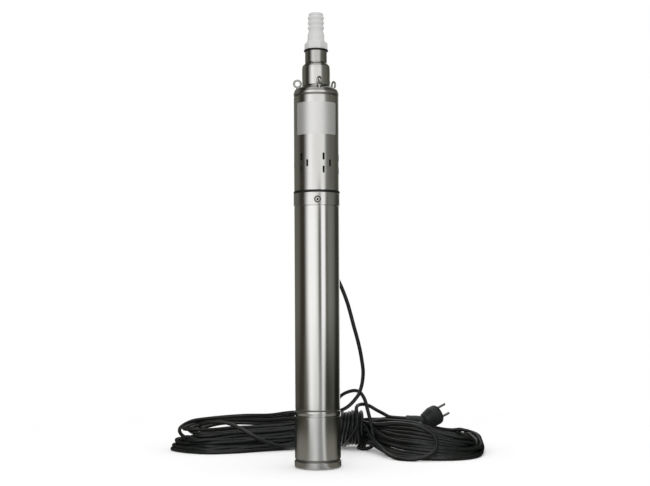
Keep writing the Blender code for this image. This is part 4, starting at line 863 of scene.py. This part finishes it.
LEFT_TIPS = (
    (-0.288, 0.0037), (-0.286, 0.0105), (-0.275, 0.005), (-0.274, 0.0125),
    (-0.264, 0.006), (-0.262, 0.015), (-0.28, 0.0235), (-0.256, 0.011),
    (-0.254, 0.021), (-0.233, 0.042), (-0.254, 0.043), (-0.265, 0.044),
    (-0.274, 0.0425),
)
RIGHT_TIPS = (
    (0.278, 0.015), (0.2865, 0.004), (0.286, 0.0115), (0.286, 0.019),
    (0.294, 0.006), (0.2935, 0.014), (0.2935, 0.0215), (0.3015, 0.009),
    (0.301, 0.0165), (0.308, 0.005), (0.301, 0.024), (0.309, 0.0125),
    (0.308, 0.02),
)
CROSSING_TURN = 3
CROSSING_STRAND = (
    (-0.222, 0.194, 0.0575), (-0.198, 0.193, 0.06),
    (-0.17, 0.192, 0.058), (-0.142, 0.184, 0.045), (-0.1185, 0.178, 0.029),
    (-0.077, 0.192, 0.011), (-0.035, 0.208, 0.008), (0.012, 0.22, 0.013),
)
FRONT_LOOP = (
    (0.1062, 0.19, 0.0505), (0.139, 0.142, 0.0612), (0.179, 0.106, 0.0605),
    (0.2105, 0.086, 0.049), (0.2185, 0.072, 0.033), (0.2135, 0.063, 0.019),
    (0.1985, 0.057, 0.0095), (0.174, 0.053, 0.0045), (0.147, 0.062, 0.004),
    (0.128, 0.092, 0.0075), (0.113, 0.15, 0.0205), (0.1, 0.2, 0.03),
)


@dataclass
class SupplyCable:
    """The pump's rubber cable: the hanging lead, the bound hank on the floor, and the plug."""

    radius: float = 0.0035
    step: float = 0.0055
    turns: int = 13
    rounds: int = 160
    seed: int = 11
    swing: float = 4.2
    exit: tuple[float, float, float] = (0.0, 0.0312, 0.4615)
    waist: tuple[float, float] = (0.236, 0.0397)
    strand_pitch: float = 0.0086
    strand_gap: float = 2.04
    sink: float = 0.00002
    keep_length: float = 0.8
    smooth: float = 0.24
    keep_place: float = 0.01
    lead_settles: float = 0.09
    loop_gives: float = 0.03
    back_x: tuple[float, float] = (0.084, 0.056)
    front_x: tuple[float, float] = (0.052, 0.086)
    left_tip_y: float = 0.221
    right_tip_y: float = 0.19
    wrap_r: float = 0.0328
    wrap_lean: float = 0.008
    wrap_middle: float = 0.066
    wrap_spread: float = 0.022
    wraps: tuple[tuple[float, float], ...] = (
        (0.043, 0.0), (0.0485, 0.0), (0.054, 0.0), (0.0592, 0.0), (0.0645, 0.0),
        (0.0698, 0.0), (0.075, 0.0), (0.0805, 0.0), (0.0865, 0.002), (0.078, 0.005))
    relief_r: tuple[float, float, float] = (0.0038, 0.0056, 0.0062)
    relief_groove: float = 0.0009
    relief_grooved: tuple[float, float] = (0.12, 0.85)
    relief_pitches: int = 12
    plug_ribs: int = 4
    pin_r: float = 0.0024
    pin_l: float = 0.019
    pins_apart: float = 0.019
    plug_face: tuple[float, float, float] = (0.2353, 0.226, 0.0692)
    plug_direction: tuple[float, float, float] = (0.86, 0.31, 0.405)
    lead: Route = (
        (0.0, 0.0312, 0.4615), (0.0, 0.05, 0.4615), (0.0, 0.069, 0.4612),
        (0.0002, 0.083, 0.4575), (0.0008, 0.095, 0.448), (0.002, 0.1015, 0.4345),
        (0.0045, 0.1035, 0.419), (0.009, 0.103, 0.4), (0.017, 0.1012, 0.375),
        (0.029, 0.0992, 0.344), (0.0432, 0.098, 0.3145), (0.0538, 0.099, 0.2872),
        (0.0602, 0.1, 0.2653), (0.0664, 0.102, 0.2415), (0.0735, 0.106, 0.2158),
        (0.079, 0.111, 0.1918), (0.0829, 0.119, 0.1684), (0.0842, 0.125, 0.156),
        (0.0838, 0.135, 0.1416), (0.0818, 0.148, 0.127), (0.0765, 0.168, 0.1085),
        (0.066, 0.187, 0.093), (0.0534, 0.205, 0.0795), (0.027, 0.227, 0.0705),
    )
    loop: Route = (
        (0.0735, 0.205, 0.007), (0.085, 0.195, 0.0045), (0.0965, 0.189, 0.0052),
        (0.1055, 0.185, 0.013), (0.1082, 0.184, 0.0255), (0.103, 0.185, 0.0479),
        (0.0958, 0.192, 0.0763), (0.0892, 0.205, 0.1007), (0.0751, 0.225, 0.1134),
        (0.0458, 0.245, 0.1018), (0.028, 0.27, 0.07), (0.029, 0.28, 0.043),
        (0.0335, 0.277, 0.023), (0.039, 0.264, 0.0085), (0.0455, 0.242, 0.004),
        (0.0505, 0.218, 0.006), (0.056, 0.201, 0.0165), (0.0655, 0.194, 0.031),
        (0.0745, 0.1935, 0.0456),
    )
    tail: Route = (
        (0.0756, 0.1945, 0.06), (0.0748, 0.1985, 0.072), (0.0745, 0.208, 0.0812),
        (0.0789, 0.222, 0.085), (0.0888, 0.234, 0.0855), (0.1005, 0.24, 0.0818),
        (0.1138, 0.238, 0.0742), (0.1278, 0.23, 0.0673), (0.1385, 0.2205, 0.0623),
        (0.1538, 0.2132, 0.0612), (0.1699, 0.20875, 0.0606), (0.1768, 0.208, 0.0607),
        (0.1861, 0.2082, 0.0603), (0.1975, 0.211, 0.0588), (0.208, 0.215, 0.057),
    )

    def waist_slots(self) -> list[tuple[float, float]]:
        """Places in the bound waist, a strand apart, from the middle outwards.

        Returns:
            Depth and height of each place.
        """
        found = []
        near = range(-5, 6)
        for row in near:
            for column in near:
                y = (column + 0.5 * (row % 2)) * self.strand_pitch
                z = row * self.strand_pitch * sqrt(3) / 2
                found.append((y, z))
        found.sort(key=lambda p: (round(p[0] ** 2 + p[1] ** 2, 8), p))
        return [(self.waist[0] + y, self.waist[1] + z) for y, z in found[:2 * self.turns]]

    def ranks(self, rng: Random, swing: float) -> list[int]:
        """The height order of the turns in one run, which changes a little from run to run.

        Args:
            rng: The seeded source of the irregularities.
            swing: How many places a turn may move up or down.

        Returns:
            Each turn's place, where 0 lies lowest.
        """
        count = self.turns
        wish = [count - 1 - i + rng.uniform(-swing, swing) for i in range(count)]
        order = sorted(range(count), key=lambda i: wish[i])
        return [order.index(i) for i in range(count)]

    def turn_points(self) -> list[Vector]:
        """The hank's turns, from the lead's landing to the start of the binding.

        Returns:
            Points that the turns pass through.
        """
        rng = Random(self.seed)
        top = self.turns - 1
        slots = sorted(self.waist_slots(), key=lambda p: p[0])
        near_slots = sorted(slots[:self.turns], key=lambda p: p[1])
        far_slots = sorted(slots[self.turns:], key=lambda p: p[1])
        far_left, near_left, far_right = (self.ranks(rng, self.swing) for _ in range(3))
        near_right = [top - rank for rank in far_right]
        middle = self.ranks(rng, 0.5)
        middle[CROSSING_TURN], middle[top - 1] = middle[top - 1], middle[CROSSING_TURN]
        points = []
        for i in range(self.turns):
            back, front = far_slots[top - i], near_slots[middle[i]]
            if i > 0:
                points += [Vector((x, *back)) for x in self.back_x]
            tip_x, tip_z = LEFT_TIPS[far_left[i]]
            points += [s.point(far_left[i], top, rng, tip_x) for s in LEFT_FAR]
            points.append(Vector((tip_x, self.left_tip_y, tip_z)))
            if i == CROSSING_TURN:
                points += vectors(CROSSING_STRAND)
            else:
                points += [s.point(near_left[i], top, rng, tip_x) for s in LEFT_NEAR]
            points += [Vector((x, *front)) for x in self.front_x]
            if i == top - 1:
                points += vectors(FRONT_LOOP)
                continue
            free = near_right[i] - (near_right[i] > near_right[top - 1])
            points += [s.point(free, top - 1, rng) for s in RIGHT_NEAR]
            if i < top:
                tip_x, tip_z = RIGHT_TIPS[far_right[i]]
                points.append(Vector((tip_x, self.right_tip_y, tip_z)))
                points += [s.point(far_right[i], top, rng) for s in RIGHT_FAR]
        points += [s.point(0, top, rng) for s in RIGHT_FAR]
        return points

    def binding_points(self) -> list[Vector]:
        """The windings that bind the hank's waist, up to the standing loop.

        Returns:
            Points that the binding passes through.
        """
        points = []
        steps = 8
        last = len(self.wraps) - 1
        waist_y, waist_z = self.waist
        for k, (x, grow) in enumerate(self.wraps):
            after = self.wraps[min(k + 1, last)][0]
            lean = self.wrap_lean * (self.wrap_middle - x) / self.wrap_spread
            radius = self.wrap_r + grow
            for i in range(3 if k == 0 else 0, 5 if k == last else steps):
                turn = pi / 2 - 2 * pi * i / steps
                points.append(Vector((x + (after - x) * i / steps + lean * sin(turn),
                                      waist_y + radius * cos(turn),
                                      waist_z + radius * sin(turn))))
        return points

    def settled(self, line: np.ndarray, held: np.ndarray) -> np.ndarray:
        """Pushes the cable's strands apart and down until they lie beside and on each other.

        Args:
            line: The cable's points.
            held: How far each point is free to move, from 0 to 1.

        Returns:
            The settled points.
        """
        start = line.copy()
        rest = np.linalg.norm(np.diff(line, axis=0), axis=1).mean()
        apart = self.strand_gap * self.radius
        skip = ceil(apart / rest) + 3
        first = second = np.zeros(0, int)
        free = held[:, None]
        for i in range(self.rounds):
            if i % 6 == 0:
                first, second = close_pairs(line, apart * 1.7, skip)
            gap = line[second] - line[first]
            distance = np.maximum(np.linalg.norm(gap, axis=1), 1e-6)
            near = distance < apart
            push = (gap[near] / distance[near, None]) * (apart - distance[near, None]) * 0.5
            move = np.zeros_like(line)
            hits = np.zeros(len(line))
            np.add.at(move, first[near], -push)
            np.add.at(move, second[near], push)
            np.add.at(hits, first[near], 1)
            np.add.at(hits, second[near], 1)
            move /= np.maximum(1.0, hits[:, None] * 0.5)
            move[:, 2] -= self.sink
            line = line + move * free
            for _ in range(2):
                span = np.diff(line, axis=0)
                long = np.linalg.norm(span, axis=1)
                fix = span * ((long - rest) / long / 2 * self.keep_length)[:, None]
                line[:-1] += fix * free[:-1]
                line[1:] -= fix * free[1:]
            middle = (line[:-2] + line[2:]) / 2
            line[1:-1] += (middle - line[1:-1]) * self.smooth * free[1:-1]
            line += (start - line) * self.keep_place * free
            line[:, 2] = np.maximum(line[:, 2], self.radius)
        return line

    def route(self) -> np.ndarray:
        """The whole cable's centreline, from the gland to the back of the plug.

        Returns:
            Its points.
        """
        lead, loop, tail = vectors(self.lead), vectors(self.loop), vectors(self.tail)
        whole = spline_through(
            lead + self.turn_points() + self.binding_points() + loop + tail, self.step)
        line = np.array([tuple(p) for p in whole])
        along = distances(line)
        total = along[-1]
        free = np.ones(len(line))
        free[along < length_of(lead) - self.lead_settles] = 0.0
        free[along > total - length_of(loop) - length_of(tail)] = self.loop_gives
        free[along > total - length_of(tail)] = 0.0
        free = np.minimum(free, np.convolve(free, np.ones(9) / 9, "same"))
        free[0] = free[-1] = 0.0
        return self.settled(line, free)

    def build(self) -> None:
        """Builds the cable as one curve, and its plug."""
        line = self.route()
        cable = swept("supply_cable", line, [self.radius] * len(line))
        place_piece(cable, NEOPRENE, "cable_lead", "cable_hank", "cable_tail")
        pieces = self.plug()

    def relief(self) -> Object:
        """The ribbed strain relief between the cable and the plug.

        Returns:
            The piece.
        """
        line = spline_through(vectors(self.tail[-5:]), 0.0004)
        lip, thin, thick = self.relief_r
        first, last = self.relief_grooved
        radii = [lip]
        for i in range(1, len(line)):
            share = i / (len(line) - 1)
            grooved = first < share < last and (share * self.relief_pitches) % 1 < 0.4
            radii.append(thin + (thick - thin) * share - (self.relief_groove if grooved else 0.0))
        return place_piece(swept("plug_relief_ribbed", line, radii), VINYL_RUBBED, "plug_relief")

    def plug(self) -> list[Object]:
        """The moulded two pin plug with its ribbed strain relief.

        Returns:
            The plug's pieces.
        """
        forward = Vector(self.plug_direction).normalized()
        across = forward.cross(Vector((0, 1, 0))).normalized()
        face = Vector(self.plug_face)
        shape: Profile = [(0, 0, 0), (15.0, 0, 1.2), (18.2, -3.2, 1.0), (19.3, -6.5, 2),
                          (19.3, -18, 1)]
        for k in range(self.plug_ribs):
            start, outer = -(18.6 + 3.2 * k), 18.9 - 0.9 * k
            shape += [(outer, start, 0.4), (outer - 0.9, start - 0.3, 0.2),
                      (outer - 1.0, start - 1.2, 0.2), (outer - 0.2, start - 1.5, 0.4)]
        shape += [(14.6, -34, 3), (10, -38, 3), (0, -38, 0)]
        shell = turned("plug_shell", [(r * MM, z * MM, corner * MM) for r, z, corner in shape], 64,
                       Matrix.Translation(-across * MM) @ facing(forward, face))
        pieces = [place_piece(shell, VINYL, "plug_body"), self.relief()]
        for place, side in (("upper", 0.5), ("lower", -0.5)):
            foot = face + across * side * self.pins_apart + forward * SEAT
            pin = turned("plug_pin_" + place + "_nickel", [
                (0, 0, 0), (self.pin_r, 0, 0), (self.pin_r, self.pin_l, 0.0016),
                (0, self.pin_l, 0),
            ], 24, facing(forward, foot))
            pieces.append(place_piece(pin, NICKEL, "plug_pin_" + place))
        return pieces


def close_pairs(line: np.ndarray, reach: float, skip: int) -> tuple[np.ndarray, np.ndarray]:
    """Finds points of a line that lie near each other but not along it.

    Args:
        line: The points.
        reach: The greatest distance of a pair.
        skip: The fewest points between the two along the line.

    Returns:
        The first and the second point's number of each pair.
    """
    cells = np.floor(line / reach).astype(np.int64)
    cells -= cells.min(axis=0) - 1
    sizes = cells.max(axis=0) + 2
    keys = (cells[:, 0] * sizes[1] + cells[:, 1]) * sizes[2] + cells[:, 2]
    order = np.argsort(keys, kind="stable")
    ranked = keys[order]
    firsts, seconds = [], []
    everyone = np.arange(len(line))
    for dx in (-1, 0, 1):
        for dy in (-1, 0, 1):
            for dz in (-1, 0, 1):
                wanted = keys + (dx * sizes[1] + dy) * sizes[2] + dz
                low = np.searchsorted(ranked, wanted, "left")
                high = np.searchsorted(ranked, wanted, "right")
                many = high - low
                if not many.any():
                    continue
                a = np.repeat(everyone, many)
                offset = np.arange(len(a)) - np.repeat(np.cumsum(many) - many, many)
                b = order[np.repeat(low, many) + offset]
                keep = b - a >= skip
                a, b = a[keep], b[keep]
                near = np.linalg.norm(line[a] - line[b], axis=1) < reach
                firsts.append(a[near])
                seconds.append(b[near])
    return np.concatenate(firsts), np.concatenate(seconds)


# ------------ the pump


@dataclass
class MotorSection:
    """Foot, lower shell, long motor tube and the motor head with its screws and gland."""

    wall: float = 0.0015
    foot_top: float = 0.016
    lower_r: float = 0.0398
    lower_z: tuple[float, float] = (0.0163, 0.089)
    tube_r: float = 0.0389
    tube_z: tuple[float, float] = (0.0893, 0.4499)
    collar_r: float = 0.0399
    collar_z: tuple[float, float] = (0.4506, 0.4725)
    joint_z: tuple[float, float] = (0.4728, 0.4762)
    screw_azimuths: tuple[tuple[str, float], ...] = (
        ("front", 2.0), ("right", 122.0), ("left", -118.0))
    screw_z: float = 0.46
    screw_sunk: float = 0.0008
    gland_at: tuple[float, float, float] = (0, 0.0388, 0.4615)

    def build(self) -> None:
        """Builds the section."""
        edge = 0.0005
        spigot = self.lower_r - self.wall - SEAT
        foot = place_piece(turned("foot_cap_turned", [
            (0, 0, 0), (0.0405, 0, 0.003), (0.0405, 0.012, 0.0009), (0.0382, 0.0128, 0.0006),
            (0.0382, self.foot_top, 0), (spigot, self.foot_top, 0), (spigot, 0.03, edge),
            (0.0335, 0.03, edge), (0.0335, 0.007, 0.001), (0, 0.007, 0),
        ], 128), SATIN, "foot_cap")
        # The groove at the top of the foot: grey painted shade
        shade_where(foot, between(0.0124, self.foot_top + SEAT, 0.037, 0.0396), GROOVE_SHADE_MATT)
        place_piece(turned("lower_shell_tube", tube(
            self.lower_r, self.wall, *self.lower_z, edge), 128), GROUND_TUBE, "lower_shell")
        low, high = self.tube_z
        bore = self.tube_r - self.wall
        motor = place_piece(turned("motor_tube", [
            (self.tube_r, high, 0.0004), (self.tube_r, low + 0.0122, 0.0008),
            (0.0381, low + 0.0112, 0.0004), (0.0381, low + 0.0102, 0.0004),
            (0.0395, low + 0.0092, 0.0012), (0.0396, low + 0.0066, 0.002),
            (0.0394, low + 0.004, 0.0015), (0.0389, low + 0.0022, 0.001),
            (self.tube_r, low, 0.0004), (bore, low, 0), (bore, high, 0),
        ], 160), POLISHED, "motor_shell")
        # The groove above the bead: grey painted shade
        shade_where(motor, between(low + 0.0098, low + 0.0122, 0.0376, 0.0387), GROOVE_SHADE_MATT)
        self.head()
        place_piece(turned("joint_ring_rubber", tube(0.04, 0.0026, *self.joint_z, 0.001), 128),
                    NITRILE, "joint_ring")
        self.gland()

    def screw_seat(self, degrees: float) -> Matrix:
        """Where a side screw sits, with its own Z pointing out of the head."""
        azimuth = radians(degrees)
        return facing(around(azimuth, 1, 0),
                      around(azimuth, self.collar_r - self.screw_sunk, self.screw_z))

    def head(self) -> None:
        """Builds the motor head and the screws in its side."""
        low, high = self.collar_z
        edge = 0.0006
        head = turned("motor_head_turned", [
            (0.0138, 0.484, 0), (0.0371, 0.484, edge), (0.0371, high, 0),
            (self.collar_r, high, edge), (self.collar_r, low, edge), (0.0371, low, 0),
            (0.0371, 0.4434, 0), (0.0348, 0.4434, 0), (0.0348, 0.44, 0), (0.0371, 0.44, 0),
            (0.0371, 0.4285, edge), (0.0178, 0.4285, 0), (0.0178, 0.4413, 0), (0.0095, 0.4413, 0),
            (0.0095, 0.447, 0), (0.0125, 0.447, 0), (0.0125, 0.4527, 0), (0.0138, 0.4527, 0),
        ], 160)
        cuts = []
        for _, degrees in self.screw_azimuths:
            seat = self.screw_seat(degrees)
            cuts += [cutter(0.006, -0.0043, 0.004, seat, 40),
                     cutter(0.0028, -0.0143, 0.0, seat, 24)]
        gland = facing(Vector((0, 1, 0)), Vector(self.gland_at))
        cuts += [cutter(0.004, 0.4245, 0.4635, Matrix.Translation((0, 0.028, 0)), 24),
                 cutter(0.0058, -0.0121, 0.0108, gland, 32),
                 cutter(0.0087, 0.0, 0.0108, gland, 48)]
        combined(head, cuts, "DIFFERENCE")
        place_piece(head, GROUND_TUBE, "motor_head")
        deep = self.collar_r - 0.001
        # Faces sunk into the collar round the screws and the gland: grey painted shade
        shade_where(head, between(low + 0.001, high - 0.001, 0.016, deep), GROOVE_SHADE_MATT)
        for name, degrees in self.screw_azimuths:
            seat = self.screw_seat(degrees)
            screw = turned("socket_screw_" + name, [
                (0, 0, 0), (0.004, 0, 0.0006), (0.004, -0.004, 0.0002),
                (0.0025, -0.004, 0), (0.0025, -0.014, 0.0003), (0, -0.014, 0),
            ], 40, seat)
            combined(screw, [cutter(0.0019, -0.0024, 0.004, seat, 6)], "DIFFERENCE")
            place_piece(screw, SATIN, "head_screw_" + name)
            out = around(radians(degrees), 1, 0)
            # The screw's sides below the collar and its socket: dark painted shade
            shade_where(screw, lambda p, out=out: p.dot(out) < deep)

    def gland(self) -> None:
        """Builds the cable gland and its rubber sleeve."""
        place = facing(Vector((0, 1, 0)), Vector(self.gland_at))
        body = turned("cable_gland_nut", [
            (0.0038, -0.0085, 0), (0.0055, -0.0085, 0.0003), (0.0055, 0.0003, 0),
            (0.0069, 0.0003, 0.0002), (0.0069, 0.0058, 0.0006), (0.0038, 0.0058, 0.0004),
        ], 48, place)
        corner = 0.007 / cos(pi / 6)
        hexagon = revolved_mesh("gland_flats", rounded([
            (0.005, 0.0003, 0), (corner, 0.0003, 0.0008), (corner, 0.0058, 0.0008),
            (0.005, 0.0058, 0),
        ], 3), 6)
        hexagon.transform(place)
        combined(body, [hexagon], "UNION")
        place_piece(body, GROUND, "cable_gland")
        low = 0.0061
        ribs: Profile = [(0.0038, low, 0), (0.0063, low, 0.0008), (0.0063, low + 0.0055, 0.0008)]
        for k in range(4):
            start = low + 0.0055 + k * 0.0034
            outer = 0.006 - 0.0003 * k
            ribs += [(outer - 0.0011, start + 0.0004, 0.0003),
                     (outer - 0.0011, start + 0.0012, 0.0003), (outer, start + 0.0018, 0.0004),
                     (outer - 0.0001, start + 0.0032, 0.0004)]
        ribs += [(0.0046, low + 0.0205, 0.0004), (0.0045, low + 0.022, 0.0005),
                 (0.0038, low + 0.022, 0)]
        place_piece(turned("cable_sleeve_ribbed", ribs, 48, place), NITRILE, "cable_sleeve")


@dataclass
class PumpSection:
    """Slotted casing with its bare label, the discharge head and the lifting eyes."""

    radius: float = 0.0389
    wall: float = 0.0015
    casing_z: tuple[float, float] = (0.4765, 0.6385)
    slot_w: float = 0.0036
    slot_l: float = 0.0123
    slot_middle: float = 0.5221
    slot_pitch: float = 0.0222
    slot_groups: int = 6
    slot_turn: float = radians(18)
    slot_cut: tuple[float, float] = (0.0345, 0.0405)
    label_z: tuple[float, float] = (0.571, 0.626)
    label_half: float = radians(57)
    label_corner: float = 0.0015
    label_lift: tuple[float, float] = (0.00006, 0.00018)
    label_cells: tuple[int, int] = (60, 16)
    eyes: tuple[tuple[str, float, float, float], ...] = (
        ("front", 9.0, 58.0, 0.0096), ("right", 121.0, -62.0, 0.0112),
        ("left", -112.0, 6.0, 0.0129))
    eye_circle: float = 0.0352
    eye_spot_z: float = 0.6526

    def slot_mesh(self) -> Mesh:
        """The cutter for all the intake slots.

        Returns:
            The mesh.
        """
        bm = bmesh.new()
        half = self.slot_w / 2
        straight = self.slot_l / 2 - half
        steps = 8
        upper = [(half * cos(pi * i / steps), straight + half * sin(pi * i / steps))
                 for i in range(steps + 1)]
        outline = upper + [(-x, -y) for x, y in upper]
        for k in range(self.slot_groups):
            pair = self.slot_turn + 2 * pi * k / self.slot_groups
            places = [(pair, self.slot_middle + self.slot_pitch / 2),
                      (pair, self.slot_middle - self.slot_pitch / 2),
                      (pair + self.slot_turn, self.slot_middle)]
            for azimuth, height in places:
                turn = (Matrix.Translation((0, 0, height)) @ Matrix.Rotation(azimuth, 4, "Z")
                        @ Matrix.Rotation(pi / 2, 4, "X"))
                inner, outer = ([bm.verts.new(turn @ Vector((x, y, reach))) for x, y in outline]
                                for reach in self.slot_cut)
                bm.faces.new(inner[::-1])
                bm.faces.new(outer)
                quads(bm, [[*inner, inner[0]], [*outer, outer[0]]])
        return mesh_of(bm, "slots")

    def casing(self) -> None:
        """Builds the slotted casing."""
        low, high = self.casing_z
        casing = turned("pump_casing_tube", tube(self.radius, self.wall, low, high, 0.0004), 180)
        combined(casing, [self.slot_mesh()], "DIFFERENCE")
        place_piece(casing, GROUND_TUBE, "pump_casing")
        # The slot walls: dark painted shade
        thin = 0.0003
        shade_where(casing, between(low + thin, high - thin,
                                   self.radius - self.wall + thin, self.radius - thin))

    def label(self) -> None:
        """Lays the bare foil label on the front of the casing."""
        bm = bmesh.new()
        low, high = self.label_z
        corner = self.label_corner
        columns, rows = self.label_cells
        near, far = (self.radius + lift for lift in self.label_lift)
        outer, inner = [], []
        for i in range(columns + 1):
            azimuth = -self.label_half + 2 * self.label_half * i / columns
            edge = min(i, columns - i) / columns * 2 * self.label_half * self.radius
            cut = corner - sqrt(max(0.0, corner**2 - max(0.0, corner - edge) ** 2))
            heights = [low + cut + (high - low - 2 * cut) * j / rows for j in range(rows + 1)]
            outer.append([bm.verts.new(around(azimuth, far, height)) for height in heights])
            inner.append([bm.verts.new(around(azimuth, near, height)) for height in heights])
        for skin in (outer, inner):
            quads(bm, skin)
        for end in (0, -1):
            quads(bm, [[column[end] for column in outer], [column[end] for column in inner]])
            quads(bm, [outer[end], inner[end]])
        place_piece(smoothed(linked("rating_label_bare", mesh_of(bm, "rating_label_bare"))), FOIL)

    def head(self) -> None:
        """Builds the discharge head with its spot faces."""
        base = 0.6388
        head = turned("discharge_head_turned", [
            (0.0163, 0.698, 0), (0.019, 0.698, 0.0006), (0.0198, 0.6968, 0.001),
            (0.0238, 0.6925, 0.004), (0.02425, 0.687, 0.004), (0.02425, 0.659, 0.003),
            (0.0262, 0.6552, 0.003), (0.03, 0.6538, 0.002), (0.0334, 0.6534, 0.003),
            (0.0378, 0.65, 0.004), (0.0392, 0.645, 0.003), (0.0392, base + 0.003, 0.0004),
            (0.0379, base + 0.0028, 0.0003), (0.0379, base, 0), (0.0371, base, 0),
            (0.0371, 0.6228, 0.0006), (0.0341, 0.6228, 0.0006), (0.0341, 0.64, 0),
            (0.0276, 0.64, 0), (0.0276, 0.633, 0), (0.0226, 0.633, 0), (0.0226, 0.6523, 0),
            (0.0195, 0.6523, 0), (0.0195, 0.6895, 0), (0.0163, 0.6895, 0),
        ], 160)
        cuts = []
        for _, degrees, _, _ in self.eyes:
            foot = Matrix.Translation(around(radians(degrees), self.eye_circle,
                                             self.eye_spot_z))
            cuts += [cutter(0.005, 0, 0.0129, foot, 32), cutter(0.0028, -0.0088, 0.0129, foot, 20)]
        combined(head, cuts, "DIFFERENCE")
        place_piece(head, GROUND_TUBE, "discharge_head")
        # The groove at the head's foot: grey painted shade
        shade_where(head, between(base - 0.0001, base + 0.003, 0.0372, 0.0389), GROOVE_SHADE_MATT)

    def eye_bolts(self) -> None:
        """Builds the three lifting eyes."""
        for name, degrees, turn, rise in self.eyes:
            foot = around(radians(degrees), self.eye_circle, self.eye_spot_z)
            eye = turned("lifting_eye_" + name, [
                (0, -0.0085, 0), (0.0025, -0.0085, 0.0004), (0.0025, 0.0003, 0),
                (0.0046, 0.0003, 0.0003), (0.0046, 0.0023, 0.0007), (0.0028, 0.0032, 0.0008),
                (0.0017, rise - 0.0062, 0.0005), (0, rise - 0.006, 0),
            ], 32, Matrix.Translation(foot))
            ring = ring_mesh(0.006, 0.0017, foot + Vector((0, 0, rise)), radians(turn))
            combined(eye, [ring], "UNION")
            place_piece(eye, SATIN, "eye_bolt_" + name)

    def build(self) -> None:
        """Builds the section."""
        self.casing()
        self.label()
        self.head()
        self.eye_bolts()


@dataclass
class OutletSection:
    """Outlet socket, black washer and the white hose tail."""

    socket_z: tuple[float, float] = (0.6983, 0.7182)
    washer_z: tuple[float, float] = (0.7185, 0.7209)
    tail_z: float = 0.7225
    hex_turn: float = radians(-8.6)
    barbs: int = 3
    barb_pitch: float = 0.0085
    barb_r: float = 0.014

    def build(self) -> None:
        """Builds the section."""
        low, high = self.socket_z
        place_piece(turned("outlet_socket_turned", [
            (0.0146, high, 0.0004), (0.019, high, 0.0005), (0.019, low, 0.0005),
            (0.016, low, 0), (0.016, 0.6763, 0.0004), (0.009, 0.6763, 0), (0.009, 0.6806, 0),
            (0.0102, 0.6818, 0), (0.0126, 0.6818, 0), (0.0126, 0.7052, 0), (0.0146, 0.7052, 0),
        ], 128), SATIN, "outlet_socket")
        place_piece(turned("hose_washer_rubber", tube(0.021, 0.0064, *self.washer_z, 0.0009),
                           128), NITRILE, "hose_washer")
        self.tail()

    def tail(self) -> None:
        """Builds the moulded hose tail."""
        base = self.tail_z
        seat = self.washer_z[1] + SEAT
        hex_top = base + 0.0105
        cuff = hex_top + 0.0052
        cuff_top = cuff + 0.0092
        profile: Profile = [
            (0.00975, base - 0.011, 0), (0.0143, base - 0.011, 0.0006), (0.0143, seat, 0),
            (0.0172, seat, 0.0004), (0.0172, hex_top, 0.0005), (0.0146, cuff, 0.002),
            (0.0143, cuff_top, 0.0008), (0.0134, cuff_top + 0.003, 0.0008),
        ]
        pitch = self.barb_pitch
        first = cuff_top + 0.0055
        for k in range(self.barbs):
            low = first + k * pitch
            profile += [(0.012, low + pitch * 0.3, 0.0008),
                        (self.barb_r, low + pitch * 0.66, 0.0006),
                        (self.barb_r, low + pitch * 0.88, 0.0005)]
        last = first + self.barbs * pitch
        profile += [(0.0119, last + 0.0016, 0.0008), (0.0126, last + 0.003, 0.0006),
                    (0.0124, last + 0.004, 0.001), (0.0118, last + 0.0059, 0.0008),
                    (0.00975, last + 0.0059, 0.0005)]
        tail = turned("hose_tail_moulded", profile, 128)
        corner = 0.0175 / cos(pi / 6)
        hexagon = revolved_mesh("tail_flats", rounded([
            (0.0162, seat, 0), (corner, seat, 0.0006), (corner, hex_top - 0.0008, 0.001),
            (0.018, hex_top + 0.0012, 0.0006), (0.0162, hex_top + 0.0012, 0),
        ], 3), 6)
        hexagon.transform(Matrix.Rotation(self.hex_turn, 4, "Z"))
        combined(tail, [hexagon], "UNION")
        place_piece(tail, WHITE_POLYMER, "hose_tail")


@dataclass
class InnerWorks:
    """Finishes for the CAD pieces inside the pump, which keep their own shapes."""

    finishes: tuple[tuple[Finish, str], ...] = (
        (GROUND, "lower_bearing_outer upper_bearing_outer lower_bearing_inner "
                 "upper_bearing_inner motor_shaft coupling_hub flexible_shaft valve_spring"),
        (CHROME, "screw_rotor"),
        (CAST, "lower_bracket"),
        (LAMINATED, "stator_core rotor_core"),
        (ALUMINIUM, "capacitor rotor_end_ring_lower rotor_end_ring_upper"),
        (COPPER, "stator_winding"),
        (CARBON, "seal_seat"),
        (NITRILE, "capacitor_cup foot_o_ring head_o_ring seal_head sand_slinger valve_poppet"),
        (STATOR_RUBBER, "stator_rubber"),
        (SATIN, "stator_tube valve_guide"),
    )

    def dress(self) -> None:
        """Gives each of those pieces its finish."""
        for finish, names in self.finishes:
            for name in names.split():
                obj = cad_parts[name]
                material = finish.make()
                for slot in obj.material_slots:
                    slot.material = material
                LOG.info("CAD piece %s in %s", name, finish.name)


def main() -> None:
    """Builds the studio and the pump."""
    logging.basicConfig(level=logging.INFO, format="%(message)s")
    Studio().build()
    SupplyCable().build()
    MotorSection().build()
    PumpSection().build()
    OutletSection().build()
    InnerWorks().dress()


if __name__ == "__main__":
    main()
